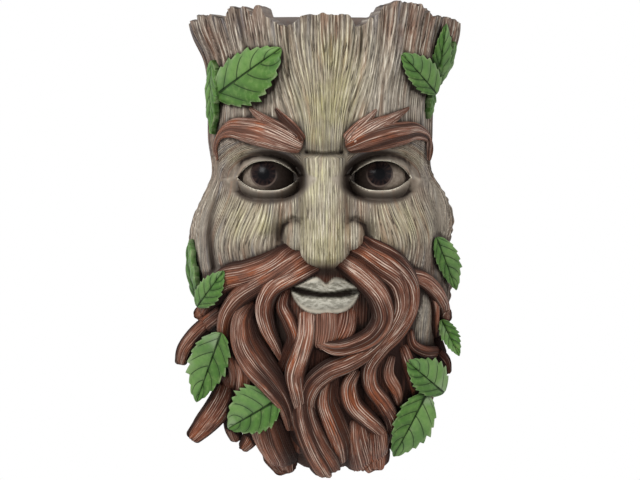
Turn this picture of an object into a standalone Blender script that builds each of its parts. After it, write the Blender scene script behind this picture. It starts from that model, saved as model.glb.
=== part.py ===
"""Wall planter of cast resin: a broken tree stump with a bearded face of bark, and leaves round it.

Metres, +Z up. The flat back lies on the wall at y = 0 and the face looks along -Y. The origin is on
the back, a little under the keyhole that the planter hangs by.
"""

import math

import bmesh
import bpy
import numpy as np
from mathutils import Vector
from mathutils.bvhtree import BVHTree

# Overall size of the casting
HEIGHT = 0.300
WIDTH = 0.180
DEPTH = 0.118  # from the wall to the tip of the nose

# The pocket for the plant pot
RIM_WALL = 0.0090
NECK_WALL = 0.0120  # sides of the pocket where the flared rim ends
BROW_WALL = 0.0160  # front of the pocket at that level, behind the brow
FLOOR_SIDE_WALL = 0.0180
FLOOR_FRONT_WALL = 0.0200
BACK_WALL = 0.0120
FLOOR_HEIGHT = 0.0620  # above the lowest tip of the beard
POCKET_CORNER = 3.2  # how square the pocket's section is; 2 is an ellipse

# The keyhole in the back, for a round-headed wall screw
HANG_HEIGHT = 0.2500  # of the screw's shank above the lowest tip
SCREW_HEAD = 0.0095
SCREW_SHANK = 0.0050
SCREW_CLEARANCE = 0.0015
KEYHOLE_DROP = 0.0130  # from the shank's seat to the middle of the entry hole
KEYHOLE_DEEP = 0.0075
KEYHOLE_LIP = 0.0030
ORIGIN_BELOW_SCREW = 0.0350

# Leaves
LEAF_THICK = 0.0034
LEAF_SINK = 0.0008  # how far a leaf's edge lies under the bark that carries it
LEAF_KEEL = 0.0080  # how much deeper the cast goes behind the midrib
LEAF_RAKE, LEAF_BEND, LEAF_TILT = 0.80, 0.50, 0.55  # the most that a leaf slopes, bends and tilts

# Fineness of the sculpture
VOXEL = 0.00105
SCULPT_TRIANGLES = 6650
TRIM = 0.0020  # raised behind the wall plane, then cut off flat

# The carving is laid out on a grid: x from the middle of the face, z up from the lowest tip of the
# beard and d forward from the wall, each a share of the overall size.
GRID_WIDE, GRID_DEEP, GRID_HIGH = 288, 188, 480
SCALE = np.array([WIDTH / GRID_WIDE, DEPTH / GRID_DEEP, HEIGHT / GRID_HIGH])
ORIGIN_HEIGHT = HANG_HEIGHT - ORIGIN_BELOW_SCREW

RESIN_BARK = (0.36, 0.30, 0.23)

# Outline of the stump in grid units: height, then the distance from the middle to each side
LEFT_SIDE = [
    (8, 20), (30, 56), (60, 84), (95, 100), (140, 118), (190, 131), (232, 137),
    (262, 133), (282, 124), (303, 115), (345, 118), (395, 118), (425, 122), (450, 134), (480, 139),
]
RIGHT_SIDE = [
    (8, 20), (30, 60), (60, 100), (95, 118), (140, 120), (190, 129), (232, 127),
    (262, 131), (285, 124), (308, 110), (345, 110), (390, 114), (425, 131), (450, 136), (480, 138),
]
FRONT = [(8, 48), (40, 84), (80, 112), (130, 134), (200, 146), (300, 146), (390, 144), (440, 148), (480, 158)]
SQUARENESS = [(8, 2.0), (120, 2.3), (260, 2.6), (400, 2.5), (480, 2.9)]

# Rim of broken bark: middle, half width and height of each knob or notch along x
RIM = 460
RIM_KNOBS = [
    (-122, 10, 4), (-87, 12, 10.5), (-67.5, 4.5, 11), (-41, 14, -8), (0, 24, 2), (38, 8.5, -9), (83, 25, 15), (124, 11, 3),
]
BACK_RIM = 468
RIM_START = 400  # from here up the bark stretches to meet the rim
SPLITS_START, SPLITS_FULL = 350, 465  # where the splits in the bark open


# Eyes
EYE = (55.5, 302)
EYE_BALL = 26.0
EYE_DEEP = 103  # of the eyeball's centre, forward of the wall
EYE_HALF_WIDTH = 31.0
EYE_ABOVE, EYE_BELOW = 16.8, 13.4
LID = 5.0

# Locks of the beard and the brows: points of the route as x, z, lift off the bark and width
BEARD = {
    "bed_left": [(-30, 212, -5, 30), (-60, 196, -5, 46), (-78, 160, -6, 62), (-76, 110, -6, 60), (-66, 60, -5, 44)],
    "bed_middle": [(0, 166, -9, 36), (0, 140, -8, 66), (0, 100, -7, 80), (4, 60, -6, 84), (10, 22, -4, 66)],
    "bed_right": [(26, 222, -5, 20), (58, 196, -5, 40), (62, 160, -6, 46), (62, 110, -6, 66), (60, 50, -5, 50)],
    "moustache_left_top": [(-26, 234, 2, 16), (-52, 217, 7, 22), (-74, 208, 7, 24), (-94, 202, 6, 24),
                           (-107, 189, 5, 20), (-118, 173, 5, 16), (-128, 160, 4, 10)],
    "moustache_left_long": [(-12, 228, 4, 16), (-42, 210, 8, 19), (-66, 196, 10, 17), (-84, 183, 11, 17),
                            (-96, 164, 11, 16), (-98, 146, 10, 16), (-93, 128, 9, 15), (-88, 109, 8, 14),
                            (-92, 88, 6, 9)],
    "moustache_left_lens": [(-68, 182, 2, 9), (-78, 166, 6, 20), (-77, 143, 10, 30), (-66, 120, 13, 33),
                            (-50, 97, 14, 25), (-38, 75, 13, 15), (-33, 50, 10, 7)],
    "moustache_left_inner": [(-5, 217, 1, 13), (-29, 206, 6, 17), (-50, 194, 10, 17), (-59, 174, 11, 17),
                             (-56, 154, 10, 15), (-48, 136, 8, 11), (-41, 120, 5, 5)],
    "mouth_corner_left": [(-36, 194, 1, 8), (-41, 176, 5, 13), (-34, 159, 7, 14), (-30, 145, 7, 13),
                          (-37, 127, 6, 11), (-44, 108, 4, 8)],
    "chin_left": [(-15, 180, -14, 19), (-15, 167, -6, 19), (-16, 151, 4, 19), (-22, 130, 8, 19), (-28, 109, 9, 20),
                  (-25, 89, 9, 18), (-21, 66, 7, 12)],
    "chin_middle": [(2, 180, -14, 26), (2, 166, -7, 27), (2, 151, 3, 27), (-2, 134, 4, 17)],
    "chin_right": [(22, 180, -14, 20), (21, 167, -6, 21), (18, 152, 3, 22), (11, 138, 4, 15)],
    "moustache_right_inner": [(11, 224, 2, 15), (36, 206, 9, 20), (54, 184, 13, 21), (58, 163, 14, 21),
                              (48, 146, 15, 20), (30, 137, 16, 18), (10, 134, 16, 15), (-7, 139, 12, 6)],
    "moustache_right_second": [(25, 232, 3, 15), (52, 216, 8, 19), (71, 197, 12, 18), (74, 175, 12, 17),
                               (65, 154, 10, 15), (48, 135, 10, 16), (26, 121, 12, 18), (4, 111, 13, 18),
                               (-11, 97, 12, 17), (-16, 81, 10, 14), (-9, 62, 6, 8)],
    "moustache_right_third": [(34, 240, 3, 12), (68, 221, 7, 17), (84, 196, 9, 18), (84, 173, 9, 18),
                              (73, 150, 9, 16), (56, 131, 10, 14), (45, 113, 11, 14), (46, 97, 11, 14),
                              (58, 79, 11, 15), (67, 60, 10, 15), (65, 38, 7, 10)],
    "curl_right": [(33, 114, 6, 9), (24, 97, 9, 15), (27, 79, 11, 17), (40, 64, 12, 17), (54, 50, 11, 15),
                   (62, 32, 8, 11)],
    "cheek_root": [(75, 207, 4, 11), (95, 202, 5, 14), (110, 189, 5, 15), (119, 173, 5, 14), (124, 157, 5, 9)],
    "thin_root": [(105, 194, 3, 8), (111, 174, 4, 8), (112, 152, 5, 8), (116, 137, 5, 8), (121, 124, 5, 7)],
    "low_root": [(84, 152, 3, 9), (87, 137, 5, 11), (99, 129, 6, 11), (113, 127, 7, 11), (122, 119, 8, 10),
                 (126, 105, 8, 6)],
    "strand_right_inner": [(67, 127, 3, 9), (63, 109, 5, 13), (71, 91, 6, 13), (75, 74, 4, 7)],
    "strand_right_outer": [(77, 137, 2, 11), (82, 118, 4, 16), (89, 97, 5, 16), (92, 78, 3, 9)],
    "root_left_upper": [(-98, 171, 0, 13), (-116, 156, 4, 16), (-131, 142, 6, 16), (-141, 129, 7, 13), (-145, 114, 7, 9)],
    "strand_left_back": [(-83, 128, 0, 18), (-77, 109, 1, 20), (-78, 90, 1, 20), (-84, 70, 0, 16)],
    "root_left_low": [(-91, 112, 3, 18), (-98, 88, 7, 24), (-108, 69, 10, 24), (-121, 53, 12, 20),
                      (-135, 38, 13, 12)],
    "root_left_hidden": [(-92, 66, -4, 18), (-92, 50, -4, 16), (-88, 35, -4, 10)],
    "root_left_small": [(-66, 60, 2, 18), (-75, 39, 4, 16), (-84, 27, 5, 9)],
    "root_left_big": [(-60, 78, 3, 28), (-53, 48, 8, 38), (-44, 24, 11, 34), (-38, 2, 11, 15)],
    "strand_dark_left": [(-28, 70, -6, 20), (-25, 46, -5, 22), (-26, 26, -5, 12)],
    "lock_centre": [(-22, 94, 4, 17), (-19, 66, 8, 24), (-10, 41, 11, 28), (0, 20, 12, 30), (5, 4, 11, 24)],
    "strand_centre": [(6, 106, 2, 13), (2, 86, 5, 20), (9, 63, 7, 23), (17, 40, 8, 23), (19, 17, 7, 16)],
    "strand_dark_right": [(22, 98, -5, 18), (23, 66, -4, 20), (24, 30, -4, 14)],
    "lock_low_right": [(32, 66, 3, 18), (33, 42, 7, 25), (35, 20, 9, 28), (35, 7, 9, 26)],
    "lock_low_outer": [(50, 57, 3, 24), (50, 34, 7, 28), (51, 16, 8, 26), (52, 5, 7, 20)],
    "tuft_right": [(82, 70, -2, 22), (76, 48, 0, 22), (72, 26, 0, 14)],
}
LOCK_FULL, LOCK_FLAT, BED_FLAT, BROW_FLAT = 1.16, 0.80, 0.34, 0.55
BROWS = {
    "brow_left": [(-21, 331, 3, 13), (-40, 338, 6, 22), (-58, 344, 6, 25), (-76, 349, 5, 23),
                  (-92, 351, 4, 17), (-104, 345, 4, 9), (-109, 333, 3, 7), (-107, 320, 1, 4)],
    "brow_left_fork": [(-26, 335, 5, 16), (-45, 348, 7, 18), (-60, 359, 4, 11), (-74, 371, 1, 3)],
    "brow_left_tuft": [(-22, 335, 5, 14), (-34, 350, 5, 14), (-48, 370, 1, 3)],
    "brow_right": [(21, 331, 3, 13), (38, 337, 6, 22), (58, 342, 6, 25), (76, 346, 5, 23), (92, 349, 4, 17),
                   (104, 344, 3, 10), (107, 331, 2, 7), (106, 320, 1, 4)],
    "brow_right_fork": [(26, 336, 5, 16), (49, 350, 7, 18), (68, 361, 4, 11), (85, 372, 1, 3)],
    "brow_right_tuft": [(22, 336, 5, 14), (36, 350, 5, 13), (52, 369, 1, 3)],
}

# Leaves: stalk end and tip as x, z in front and as x, d, z at the corners, how wide the blade is, and
# by what share one half is wider
FRONT_LEAVES = {
    "leaf_forehead_left": ((-110, 384), (-42, 429), 51, 0.17),
    "leaf_forehead_right": ((113, 386), (76, 425), 31, 0.2),
    "leaf_rim_right": ((113, 393), (122, 456), 19, 0.08),
    "leaf_cheek_right": ((112, 243), (134, 189), 24, -0.25),
    "leaf_jaw_right": ((118, 160), (135, 124), 18, -0.1),
    "leaf_beard_right": ((121, 86), (82, 120), 36, 0.15),
    "leaf_beard_low_right": ((103, 87), (70, 21), 40, -0.12),
    "leaf_beard_left": ((-102, 148), (-129, 76), 40, 0.13),
    "leaf_beard_low_left": ((-45, 82), (-97, 50), 49, 0.17),
    "leaf_cheek_left": ((-127, 173), (-99, 210), 25, 0.05),
}
SIDE_LEAVES = {
    "leaf_temple_left": ((-112, 84, 421), (-113, 78, 346), 32, -0.1),
    "leaf_edge_left": ((-132, 70, 173), (-136, 64, 241), 34, 0.1),
    "leaf_temple_right": ((112, 74, 396), (112, 70, 362), 22, 0.0),
    "leaf_edge_right": ((112, 84, 396), (130, 70, 440), 28, 0.1),
}
SIDE_LEAF_TURN = math.radians(66)


def through(knots, at):
    """A smooth curve through knots of (parameter, value ...), read at each parameter of at."""
    knots = np.array(knots, float)
    t, values = knots[:, 0], knots[:, 1:]
    slope = np.gradient(values, t, axis=0)
    at = np.clip(np.asarray(at, float), t[0], t[-1])
    left = np.clip(np.searchsorted(t, at, side="right") - 1, 0, len(t) - 2)
    span = t[left + 1] - t[left]
    u = ((at - t[left]) / span)[..., None]
    span = span[..., None]
    return (
        (2 * u**3 - 3 * u**2 + 1) * values[left]
        + (u**3 - 2 * u**2 + u) * span * slope[left]
        + (3 * u**2 - 2 * u**3) * values[left + 1]
        + (u**3 - u**2) * span * slope[left + 1]
    )


def rise(low, high, value):
    """0 up to low, 1 from high on, smooth between."""
    t = np.clip((value - low) / (high - low), 0, 1)
    return t * t * (3 - 2 * t)


def mound(x, z, middle, reach, power=2.0):
    return np.exp(-(np.abs((x - middle[0]) / reach[0]) ** power) - np.abs((z - middle[1]) / reach[1]) ** power)


def crease(x, z, points, width):
    """1 on a line through the points, fading to each side."""
    nearest = np.full(np.shape(x), 1e9)
    for (xa, za), (xb, zb) in zip(points, points[1:]):
        along = ((x - xa) * (xb - xa) + (z - za) * (zb - za)) / ((xb - xa) ** 2 + (zb - za) ** 2)
        along = np.clip(along, 0, 1)
        nearest = np.minimum(nearest, np.hypot(x - xa - along * (xb - xa), z - za - along * (zb - za)))
    return np.exp(-((nearest / width) ** 2))


def side_reach(x, z):
    """Distance from the middle to the stump's side, on the side of x."""
    return np.where(x < 0, through(LEFT_SIDE, z)[..., 0], through(RIGHT_SIDE, z)[..., 0])


def bark_depth(x, z, softness=0.0):
    """How far the plain stump stands out from the wall at x, z. Softness keeps it from falling to 0 at the sides."""
    share = np.minimum(np.abs(x) / side_reach(x, z), 1.0)
    power = through(SQUARENESS, z)[..., 0]
    full = (1 - share**power) ** (1 / power)
    return through(FRONT, z)[..., 0] * np.maximum(full, softness)


def rim_height(x):
    height = np.full(np.shape(x), float(RIM))
    for middle, half_width, tall in RIM_KNOBS:
        height = height + tall * np.exp(-(np.abs((x - middle) / half_width) ** 4))
    return height


def broad_form(x, z):
    """Forehead, brow bone, cheeks, muzzle and chin, which the locks and leaves lie on."""
    ax = np.abs(x)
    form = 5 * mound(x, z, (0, 350), (75, 60))
    form += 7 * mound(ax, z, (55, 337), (46, 13))
    form += 15 * mound(ax, z, (80, 246), (34, 31), 2.6)
    form += 10 * mound(x, z, (0, 190), (46, 38))
    form += 8 * mound(x, z, (0, 150), (34, 22))
    form -= 8 * mound(ax, z, (42, 248), (8, 16))
    return form


def nose(x, z):
    ax = np.abs(x)
    down = np.clip((328 - z) / 102, 0, 1)
    under = 212 + 0.0135 * ax**2
    bridge = (11 + 20 * down) * rise(under - 3, under + 9, z) * (1 - rise(322, 330, z))
    half_width = through([(205, 15), (218, 21), (232, 21.5), (255, 20.5), (285, 19.5), (330, 19.5)], z)[..., 0]
    ridge = bridge * np.exp(-((ax / half_width) ** 5) * 0.7)
    tip = 5 * mound(x, z, (0, 230), (16, 14))
    ball = np.clip(1 - ((ax - 28.5) / 12) ** 2 - ((z - 243) / 15) ** 2, 0, 1)
    wings = 19 * np.sqrt(ball) * rise(under - 3, under + 5, z)
    return ((ridge + tip) ** 2.6 + wings**2.6) ** (1 / 2.6)


def lid_bow(u, upper):
    """How far the lid's edge stands above or below the line through the corners of the eye."""
    outward = rise(-10, 10, u)
    power = np.where(upper, 1.9 + 0.9 * outward, 2.5)
    full = np.where(upper, EYE_ABOVE, EYE_BELOW)
    return (np.abs(u) / EYE_HALF_WIDTH) ** power, full


def eye_edge(x, z):
    """Distance outside the eye's opening, negative inside, and which lid is nearer: 1 upper, 0 lower."""

    def form(u, v):
        share, full = lid_bow(u, v > 0)
        return share + np.abs(v) / full - 1

    u, v, nudge = np.abs(x) - EYE[0], z - EYE[1], 0.5
    here = form(u, v)
    slope = np.hypot(form(u + nudge, v) - here, form(u, v + nudge) - here) / nudge
    return here / np.maximum(slope, 0.03), rise(-2, 2, v)


def with_eyes(x, z, surface):
    """The depths of the surface with sockets, lids and eyeballs worked into them."""
    ax = np.abs(x)
    surface = surface - 13 * mound(ax, z, (52, 307), (35, 19), 2.6) - 11 * mound(ax, z, (29, 305), (9, 14))
    edge, upper = eye_edge(x, z)
    from_middle = (ax - EYE[0]) ** 2 + (z - EYE[1]) ** 2
    lid = EYE_DEEP + np.sqrt(np.maximum((EYE_BALL + LID) ** 2 - from_middle, 40.0))
    lid += 1.2 * np.exp(-(((edge - 1.5) / 2) ** 2))
    reach = 11.0 - 4.5 * upper
    beside_nose = rise(15, 21, ax)
    blend = (1 - rise(reach - 3, reach + 2, edge)) * beside_nose
    surface = surface * (1 - blend) + lid * blend
    inner = rise(12, -14, ax - EYE[0])
    groove = np.where(upper > 0.5, 6.0 + 4.0 * inner, 3.5) * (1 - 0.7 * rise(22, 38, ax - EYE[0]))
    surface -= groove * beside_nose * np.exp(-(((edge - reach) / (2.0 + 1.2 * upper)) ** 2))
    ball = EYE_DEEP + np.sqrt(np.maximum(EYE_BALL**2 - from_middle, 30.0)) - 2.5
    return np.where(edge < 0, ball, surface)


def lips(x, z):
    across = np.clip(np.abs(x - 1.5) / 35, 0, 1)
    slit = 186 + np.where(x < 1.5, 7, 4) * across**2
    top = 192 + 13 * (1 - across**1.5) - 9 * np.exp(-(((x - 2) / 6) ** 2))
    low = 190 - 23 * (1 - across**3.6)
    inside = 1 - rise(0.9, 1.0, across)
    up = np.clip((z - slit) / np.maximum(top - slit, 1), 0, 1)
    down = np.clip((slit - z) / np.maximum(slit - low, 1), 0, 1)
    upper = (2.5 + 6 * np.sqrt(1 - up**2)) * (z >= slit) * (1 - rise(top - 1, top + 1.5, z))
    lower = (2.5 + 8 * np.sin(math.pi * np.clip(0.15 + down * 0.85, 0, 1))) * (z < slit) * rise(low - 2, low + 1, z)
    open_by = 2.6 + 1.3 * np.exp(-(((across - 0.6) / 0.28) ** 2))
    return inside * (upper + lower - 13 * np.exp(-(((z - slit) / open_by) ** 4)))


def face(x, z, surface):
    """The depths of the surface with the whole face carved in."""
    ax = np.abs(x)
    surface = surface + broad_form(x, z)
    lobe = (1 - rise(12, 18, ax - 0.2 * (z - 327))) * rise(323, 329, z) * (1 - rise(350, 430, z))
    surface = surface + 6 * lobe
    surface = with_eyes(x, z, surface)
    surface = surface + nose(x, z) + lips(x, z)
    surface -= 8 * crease(x, z, [(-17, 326), (0, 324), (17, 326)], 2.3)
    surface -= 4 * crease(ax, z, [(20, 259), (31, 261), (40, 254), (43, 240)], 2.6)
    outer_fold = np.where(x < 0, 13.0, 7.0) * (1 - rise(276, 292, z))
    surface -= outer_fold * crease(ax, z, [(96, 291), (108, 280), (113, 264), (114, 244), (109, 212)], 4.2)
    surface -= 3 * crease(x, z, [(2, 212), (2, 200)], 5.0)
    return surface


def flutes(around, z):
    """Deep splits of the bark, which open towards the rim."""
    depth = 0.6 + 2.2 * rise(SPLITS_START, SPLITS_FULL, z)
    waves = np.sin(around * 41) + 0.7 * np.sin(around * 67 + 1.3) + 0.6 * np.sin(around * 103 + 0.4)
    at_sides = 1.5 * rise(0.82, 0.97, np.abs(np.cos(around)))
    return 0.5 * waves * np.maximum(depth * rise(225, 330, z), at_sides * rise(0, 120, z))


def section_point(turn, z):
    """x and d of the stump's skin at an angle round it, 0 at the right and pi at the left."""
    across, out = np.cos(turn), np.sin(turn)
    power = through(SQUARENESS, z)[..., 0]
    reach = np.where(across < 0, through(LEFT_SIDE, z)[..., 0], through(RIGHT_SIDE, z)[..., 0])
    deep = through(FRONT, z)[..., 0]
    radius = (np.abs(across / reach) ** power + np.abs(out / deep) ** power) ** (-1 / power)
    return radius * across, radius * out


def stump_skin(turns, levels):
    """Grid of points, rows by level and columns by angle, with the face and the bark carved in."""
    turn, level = np.meshgrid(turns, levels)
    x, _ = section_point(turn, level)
    top = rim_height(x)
    above = (level - RIM_START) / (GRID_HIGH - RIM_START)
    z = np.where(above > 0, RIM_START + above * (top - RIM_START), level)
    x, d = section_point(turn, z)
    ahead = 1 - rise(0.80, 0.97, np.abs(x) / side_reach(x, z))
    d = d + ahead * (face(x, z, d) - d)
    bark = flutes(turn, z)
    return np.stack([x + bark * np.cos(turn), d + bark * np.sin(turn), z], axis=-1)


def lock_sections(route, sides, steps, full, flat):
    """Rings of a tapered lock that runs along its route over the carrier, in grid units."""
    route = np.array(route, float) * (1, 1, 1, full)
    gaps = np.hypot(*np.diff(route[:, :2], axis=0).T)
    along = np.concatenate([[0], np.cumsum(gaps)])
    at = np.linspace(0, along[-1], steps)
    x, z, lift, width = through(np.column_stack([along, route]), at).T
    middle = np.stack([x, carrier(x, z) + lift, z], axis=-1)
    ahead = np.gradient(middle, axis=0)
    ahead /= np.linalg.norm(ahead, axis=1)[:, None]
    nudge = 4.0
    out = np.stack(
        [
            (carrier(x - nudge, z) - carrier(x + nudge, z)) / (2 * nudge),
            np.ones_like(x),
            (carrier(x, z - nudge) - carrier(x, z + nudge)) / (2 * nudge),
        ],
        axis=-1,
    )
    out -= ahead * np.sum(out * ahead, axis=1)[:, None]
    out /= np.linalg.norm(out, axis=1)[:, None]
    side = np.cross(ahead, out)
    turns = np.linspace(0, 2 * math.pi, sides, endpoint=False)
    radius = width[:, None, None] / 2
    return middle[:, None] + radius * (
        side[:, None] * np.cos(turns)[None, :, None] + flat * out[:, None] * np.sin(turns)[None, :, None]
    )


def carrier(x, z):
    """The surface that locks and leaves lie on."""
    return bark_depth(x, z, 0.42) + broad_form(x, z) * 0.8


def to_metres(points):
    """Grid units to metres: the viewer's side is -Y, and the origin is on the back."""
    points = np.asarray(points, float) * SCALE
    return points * (1, -1, 1) - (0, 0, ORIGIN_HEIGHT)


def add_rings(mesh, rings):
    """Joins closed rings into a tube with a fan at each end."""
    rows = [[mesh.verts.new(p) for p in to_metres(ring)] for ring in rings]
    for low, high in zip(rows, rows[1:]):
        for i in range(len(low)):
            mesh.faces.new((low[i - 1], low[i], high[i], high[i - 1]))
    for row, ring in ((rows[0], rings[0]), (rows[-1], rings[-1])):
        tip = mesh.verts.new(to_metres(ring.mean(axis=0)))
        for i in range(len(row)):
            mesh.faces.new((row[i - 1], row[i], tip))


def stump_rings():
    """Closed rings of the stump from its foot to the middle of its top."""
    turns = np.linspace(0, math.pi, 170)
    levels = np.concatenate([np.linspace(8, 150, 46), np.linspace(152, GRID_HIGH, 215)])
    skin = stump_skin(turns, levels)
    behind = -TRIM / SCALE[1]
    swell = 1 - np.linspace(-1, 1, 24) ** 4
    rings = []
    for row in skin:
        back = np.linspace(row[-1], row[0], 24)
        back[:, 1] = behind
        back[:, 2] += (BACK_RIM - RIM) * swell * rise(RIM_START, RIM - 5, (row[0, 2] + row[-1, 2]) / 2)
        rings.append(np.concatenate([row, back]))
    rim = rings[-1]
    middle = np.array([0, rim[:, 1].mean(), RIM - 14])
    rings += [middle + (rim - middle) * share for share in (0.85, 0.5, 0.15)]
    return rings


def leaf_blade(bark, base, tip, width, lean, turned, steps=10):
    """Upper and lower rows of points of one toothed leaf, in metres, laid on what the bark tree holds."""
    slide = np.array([math.sin(turned), -math.cos(turned), 0.0])
    start, end = (to_metres((place[0], place[1] if turned else 0, place[-1])) for place in (base, tip))
    start, end = (place - slide * place.dot(slide) for place in (start, end))
    length = np.linalg.norm(end - start)
    across = np.cross((end - start) / length, slide)
    share = np.linspace(0, 1, steps)
    outline = np.maximum(np.sin(math.pi * share**0.78) ** 0.78, 0.03)
    half = width * SCALE[0] / 2 * outline * (1 + 0.07 * (-1.0) ** np.arange(steps))
    places = np.array([-1.0, 0.0, 1.0])
    wide = places + lean * places**2
    flat = start + share[:, None, None] * (end - start) + wide[None, :, None] * half[:, None, None] * across
    under = []
    for i in range(1, steps - 1):
        for place in (-0.8, 0.0, 0.8):
            point = flat[i, 1] + place * half[i] * across
            hit = bark.ray_cast(Vector(point + slide), Vector(-slide))[0]
            if hit is not None:
                under.append((share[i], place * half[i], (np.array(hit) - point).dot(slide)))
    under = np.array(under)
    form = np.stack([np.ones(len(under)), under[:, 0], under[:, 0] * (1 - under[:, 0]), under[:, 1]], axis=1)
    limits = np.array([1.0, LEAF_RAKE * length, LEAF_BEND * length, LEAF_TILT])
    _, rake, bend, tilt = lie = np.clip(np.linalg.lstsq(form, under[:, 2], rcond=None)[0], -limits, limits)
    level = lie[0] + np.sort(under[:, 2] - form @ lie)[-1 - len(under) // 9]
    rest = level + rake * share + bend * share * (1 - share)
    bow = 0.04 * length * np.sin(math.pi * share)
    rise_up = rest[:, None] + (tilt * wide + 0.10 * np.abs(wide)) * half[:, None] + bow[:, None]
    upper = flat + (rise_up + LEAF_THICK - LEAF_SINK)[..., None] * slide
    deep = LEAF_THICK + LEAF_KEEL * outline[:, None] * (1 - np.abs(places))
    return upper, upper - deep[..., None] * slide


def leaf_mesh(name, blade):
    """A closed leaf of the blade's thickness."""
    upper, lower = blade
    rows, columns = upper.shape[:2]
    mesh = bmesh.new()
    sheets = [[[mesh.verts.new(p) for p in row] for row in sheet] for sheet in (upper, lower)]
    for i in range(rows - 1):
        for j in range(columns - 1):
            a, b = sheets[0][i], sheets[0][i + 1]
            mesh.faces.new((a[j], a[j + 1], b[j + 1], b[j]))
            a, b = sheets[1][i], sheets[1][i + 1]
            mesh.faces.new((a[j + 1], a[j], b[j], b[j + 1]))
    bmesh.ops.bridge_loops(mesh, edges=[e for e in mesh.edges if e.is_boundary])
    bmesh.ops.recalc_face_normals(mesh, faces=mesh.faces)
    return new_object(name, mesh)


def leaf_meshes(bark):
    """All the leaves, each resting on the bark."""
    leaves = [(name, leaf, 0) for name, leaf in FRONT_LEAVES.items()]
    for name, leaf in SIDE_LEAVES.items():
        leaves.append((name, leaf, -SIDE_LEAF_TURN if name.endswith("left") else SIDE_LEAF_TURN))
    return [leaf_mesh(name, leaf_blade(bark, *leaf, turned)) for name, leaf, turned in leaves]


def new_object(name, mesh):
    data = bpy.data.meshes.new(name)
    mesh.to_mesh(data)
    mesh.free()
    made = bpy.data.objects.new(name, data)
    bpy.context.scene.collection.objects.link(made)
    return made


def use_as_cutter(made):
    made.hide_render = True
    made.display_type = "WIRE"
    return made


def baked(made):
    """Gives the object the mesh that its modifiers make, and clears them."""
    graph = bpy.context.evaluated_depsgraph_get()
    data = bpy.data.meshes.new_from_object(made.evaluated_get(graph))
    made.modifiers.clear()
    made.data = data
    return made


def sculpture():
    """Stump, face, beard and brows as one skin, thinned to the triangles that the form needs."""
    mesh = bmesh.new()
    add_rings(mesh, stump_rings())
    for name, route in BEARD.items():
        full, flat = (1.0, BED_FLAT) if name.startswith("bed") else (LOCK_FULL, LOCK_FLAT)
        add_rings(mesh, lock_sections(route, 20, 44, full, flat))
    for route in BROWS.values():
        add_rings(mesh, lock_sections(route, 16, 30, 1.0, BROW_FLAT))
    bmesh.ops.recalc_face_normals(mesh, faces=mesh.faces)
    made = new_object("planter", mesh)
    remesh = made.modifiers.new("One skin", "REMESH")
    remesh.mode = "VOXEL"
    remesh.voxel_size = VOXEL
    smooth = made.modifiers.new("Ease the steps", "SMOOTH")
    smooth.factor = 0.5
    smooth.iterations = 2
    baked(made)
    triangles = sum(len(face.vertices) - 2 for face in made.data.polygons)
    thin = made.modifiers.new("Fewer triangles", "DECIMATE")
    thin.ratio = SCULPT_TRIANGLES / triangles
    thin.use_collapse_triangulate = True
    return baked(made)


def without_crumbs(made, most_corners=12):
    """Clears the few loose slivers that the cuts leave."""
    mesh = bmesh.new()
    mesh.from_mesh(made.data)
    waiting = set(mesh.verts)
    crumbs = []
    while waiting:
        island, edge = set(), [waiting.pop()]
        while edge:
            corner = edge.pop()
            island.add(corner)
            near = {link.other_vert(corner) for link in corner.link_edges} & waiting
            waiting -= near
            edge.extend(near)
        if len(island) <= most_corners:
            crumbs.extend(island)
    bmesh.ops.delete(mesh, geom=crumbs, context="VERTS")
    mesh.to_mesh(made.data)
    mesh.free()


def box_cutter(name, low, high):
    mesh = bmesh.new()
    bmesh.ops.create_cube(mesh, size=1)
    size = [b - a for a, b in zip(low, high)]
    middle = [(a + b) / 2 for a, b in zip(low, high)]
    bmesh.ops.scale(mesh, vec=size, verts=mesh.verts)
    bmesh.ops.translate(mesh, vec=middle, verts=mesh.verts)
    return use_as_cutter(new_object(name, mesh))


def loft(name, loops):
    """A closed solid through loops with equal numbers of points."""
    mesh = bmesh.new()
    rows = [[mesh.verts.new(p) for p in loop] for loop in loops]
    for low, high in zip(rows, rows[1:]):
        for i in range(len(low)):
            mesh.faces.new((low[i - 1], low[i], high[i], high[i - 1]))
    mesh.faces.new(rows[0])
    mesh.faces.new(rows[-1])
    bmesh.ops.recalc_face_normals(mesh, faces=mesh.faces)
    return use_as_cutter(new_object(name, mesh))


def pocket_loop(height, half_width, deep, points=26):
    """One level of the pocket: a squared half round against the back wall, deep from the wall plane."""
    turns = np.linspace(0, math.pi, points)
    reach, out = half_width, deep - BACK_WALL
    radius = (np.abs(np.cos(turns) / reach) ** POCKET_CORNER + np.abs(np.sin(turns) / out) ** POCKET_CORNER) ** (
        -1 / POCKET_CORNER
    )
    return [(r * math.cos(t), -BACK_WALL - r * math.sin(t), height - ORIGIN_HEIGHT) for r, t in zip(radius, turns)]


def pocket_levels():
    """Height, half width and depth of the pocket at the floor, the neck and the rim."""

    def stump_at(height):
        z = np.array(height / SCALE[2])
        narrow = min(float(through(LEFT_SIDE, z)[..., 0]), float(through(RIGHT_SIDE, z)[..., 0])) * SCALE[0]
        return narrow, float(through(FRONT, z)[..., 0]) * SCALE[1]

    neck = 0.84 * HEIGHT
    levels = []
    for height, side_wall, front_wall in (
        (FLOOR_HEIGHT, FLOOR_SIDE_WALL, FLOOR_FRONT_WALL),
        (neck, NECK_WALL, BROW_WALL),
        (HEIGHT, RIM_WALL, RIM_WALL),
    ):
        half_width, deep = stump_at(height)
        levels.append((height, half_width - side_wall, deep - front_wall))
    return levels


def pocket():
    levels = pocket_levels()
    top = levels[-1]
    above = (top[0] + 0.02, top[1], top[2])
    return loft("pocket", [pocket_loop(*level) for level in (*levels, above)])


def disc(middle_z, radius, y, sides=20):
    return [
        (radius * math.cos(2 * math.pi * i / sides), y, middle_z + radius * math.sin(2 * math.pi * i / sides))
        for i in range(sides)
    ]


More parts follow.
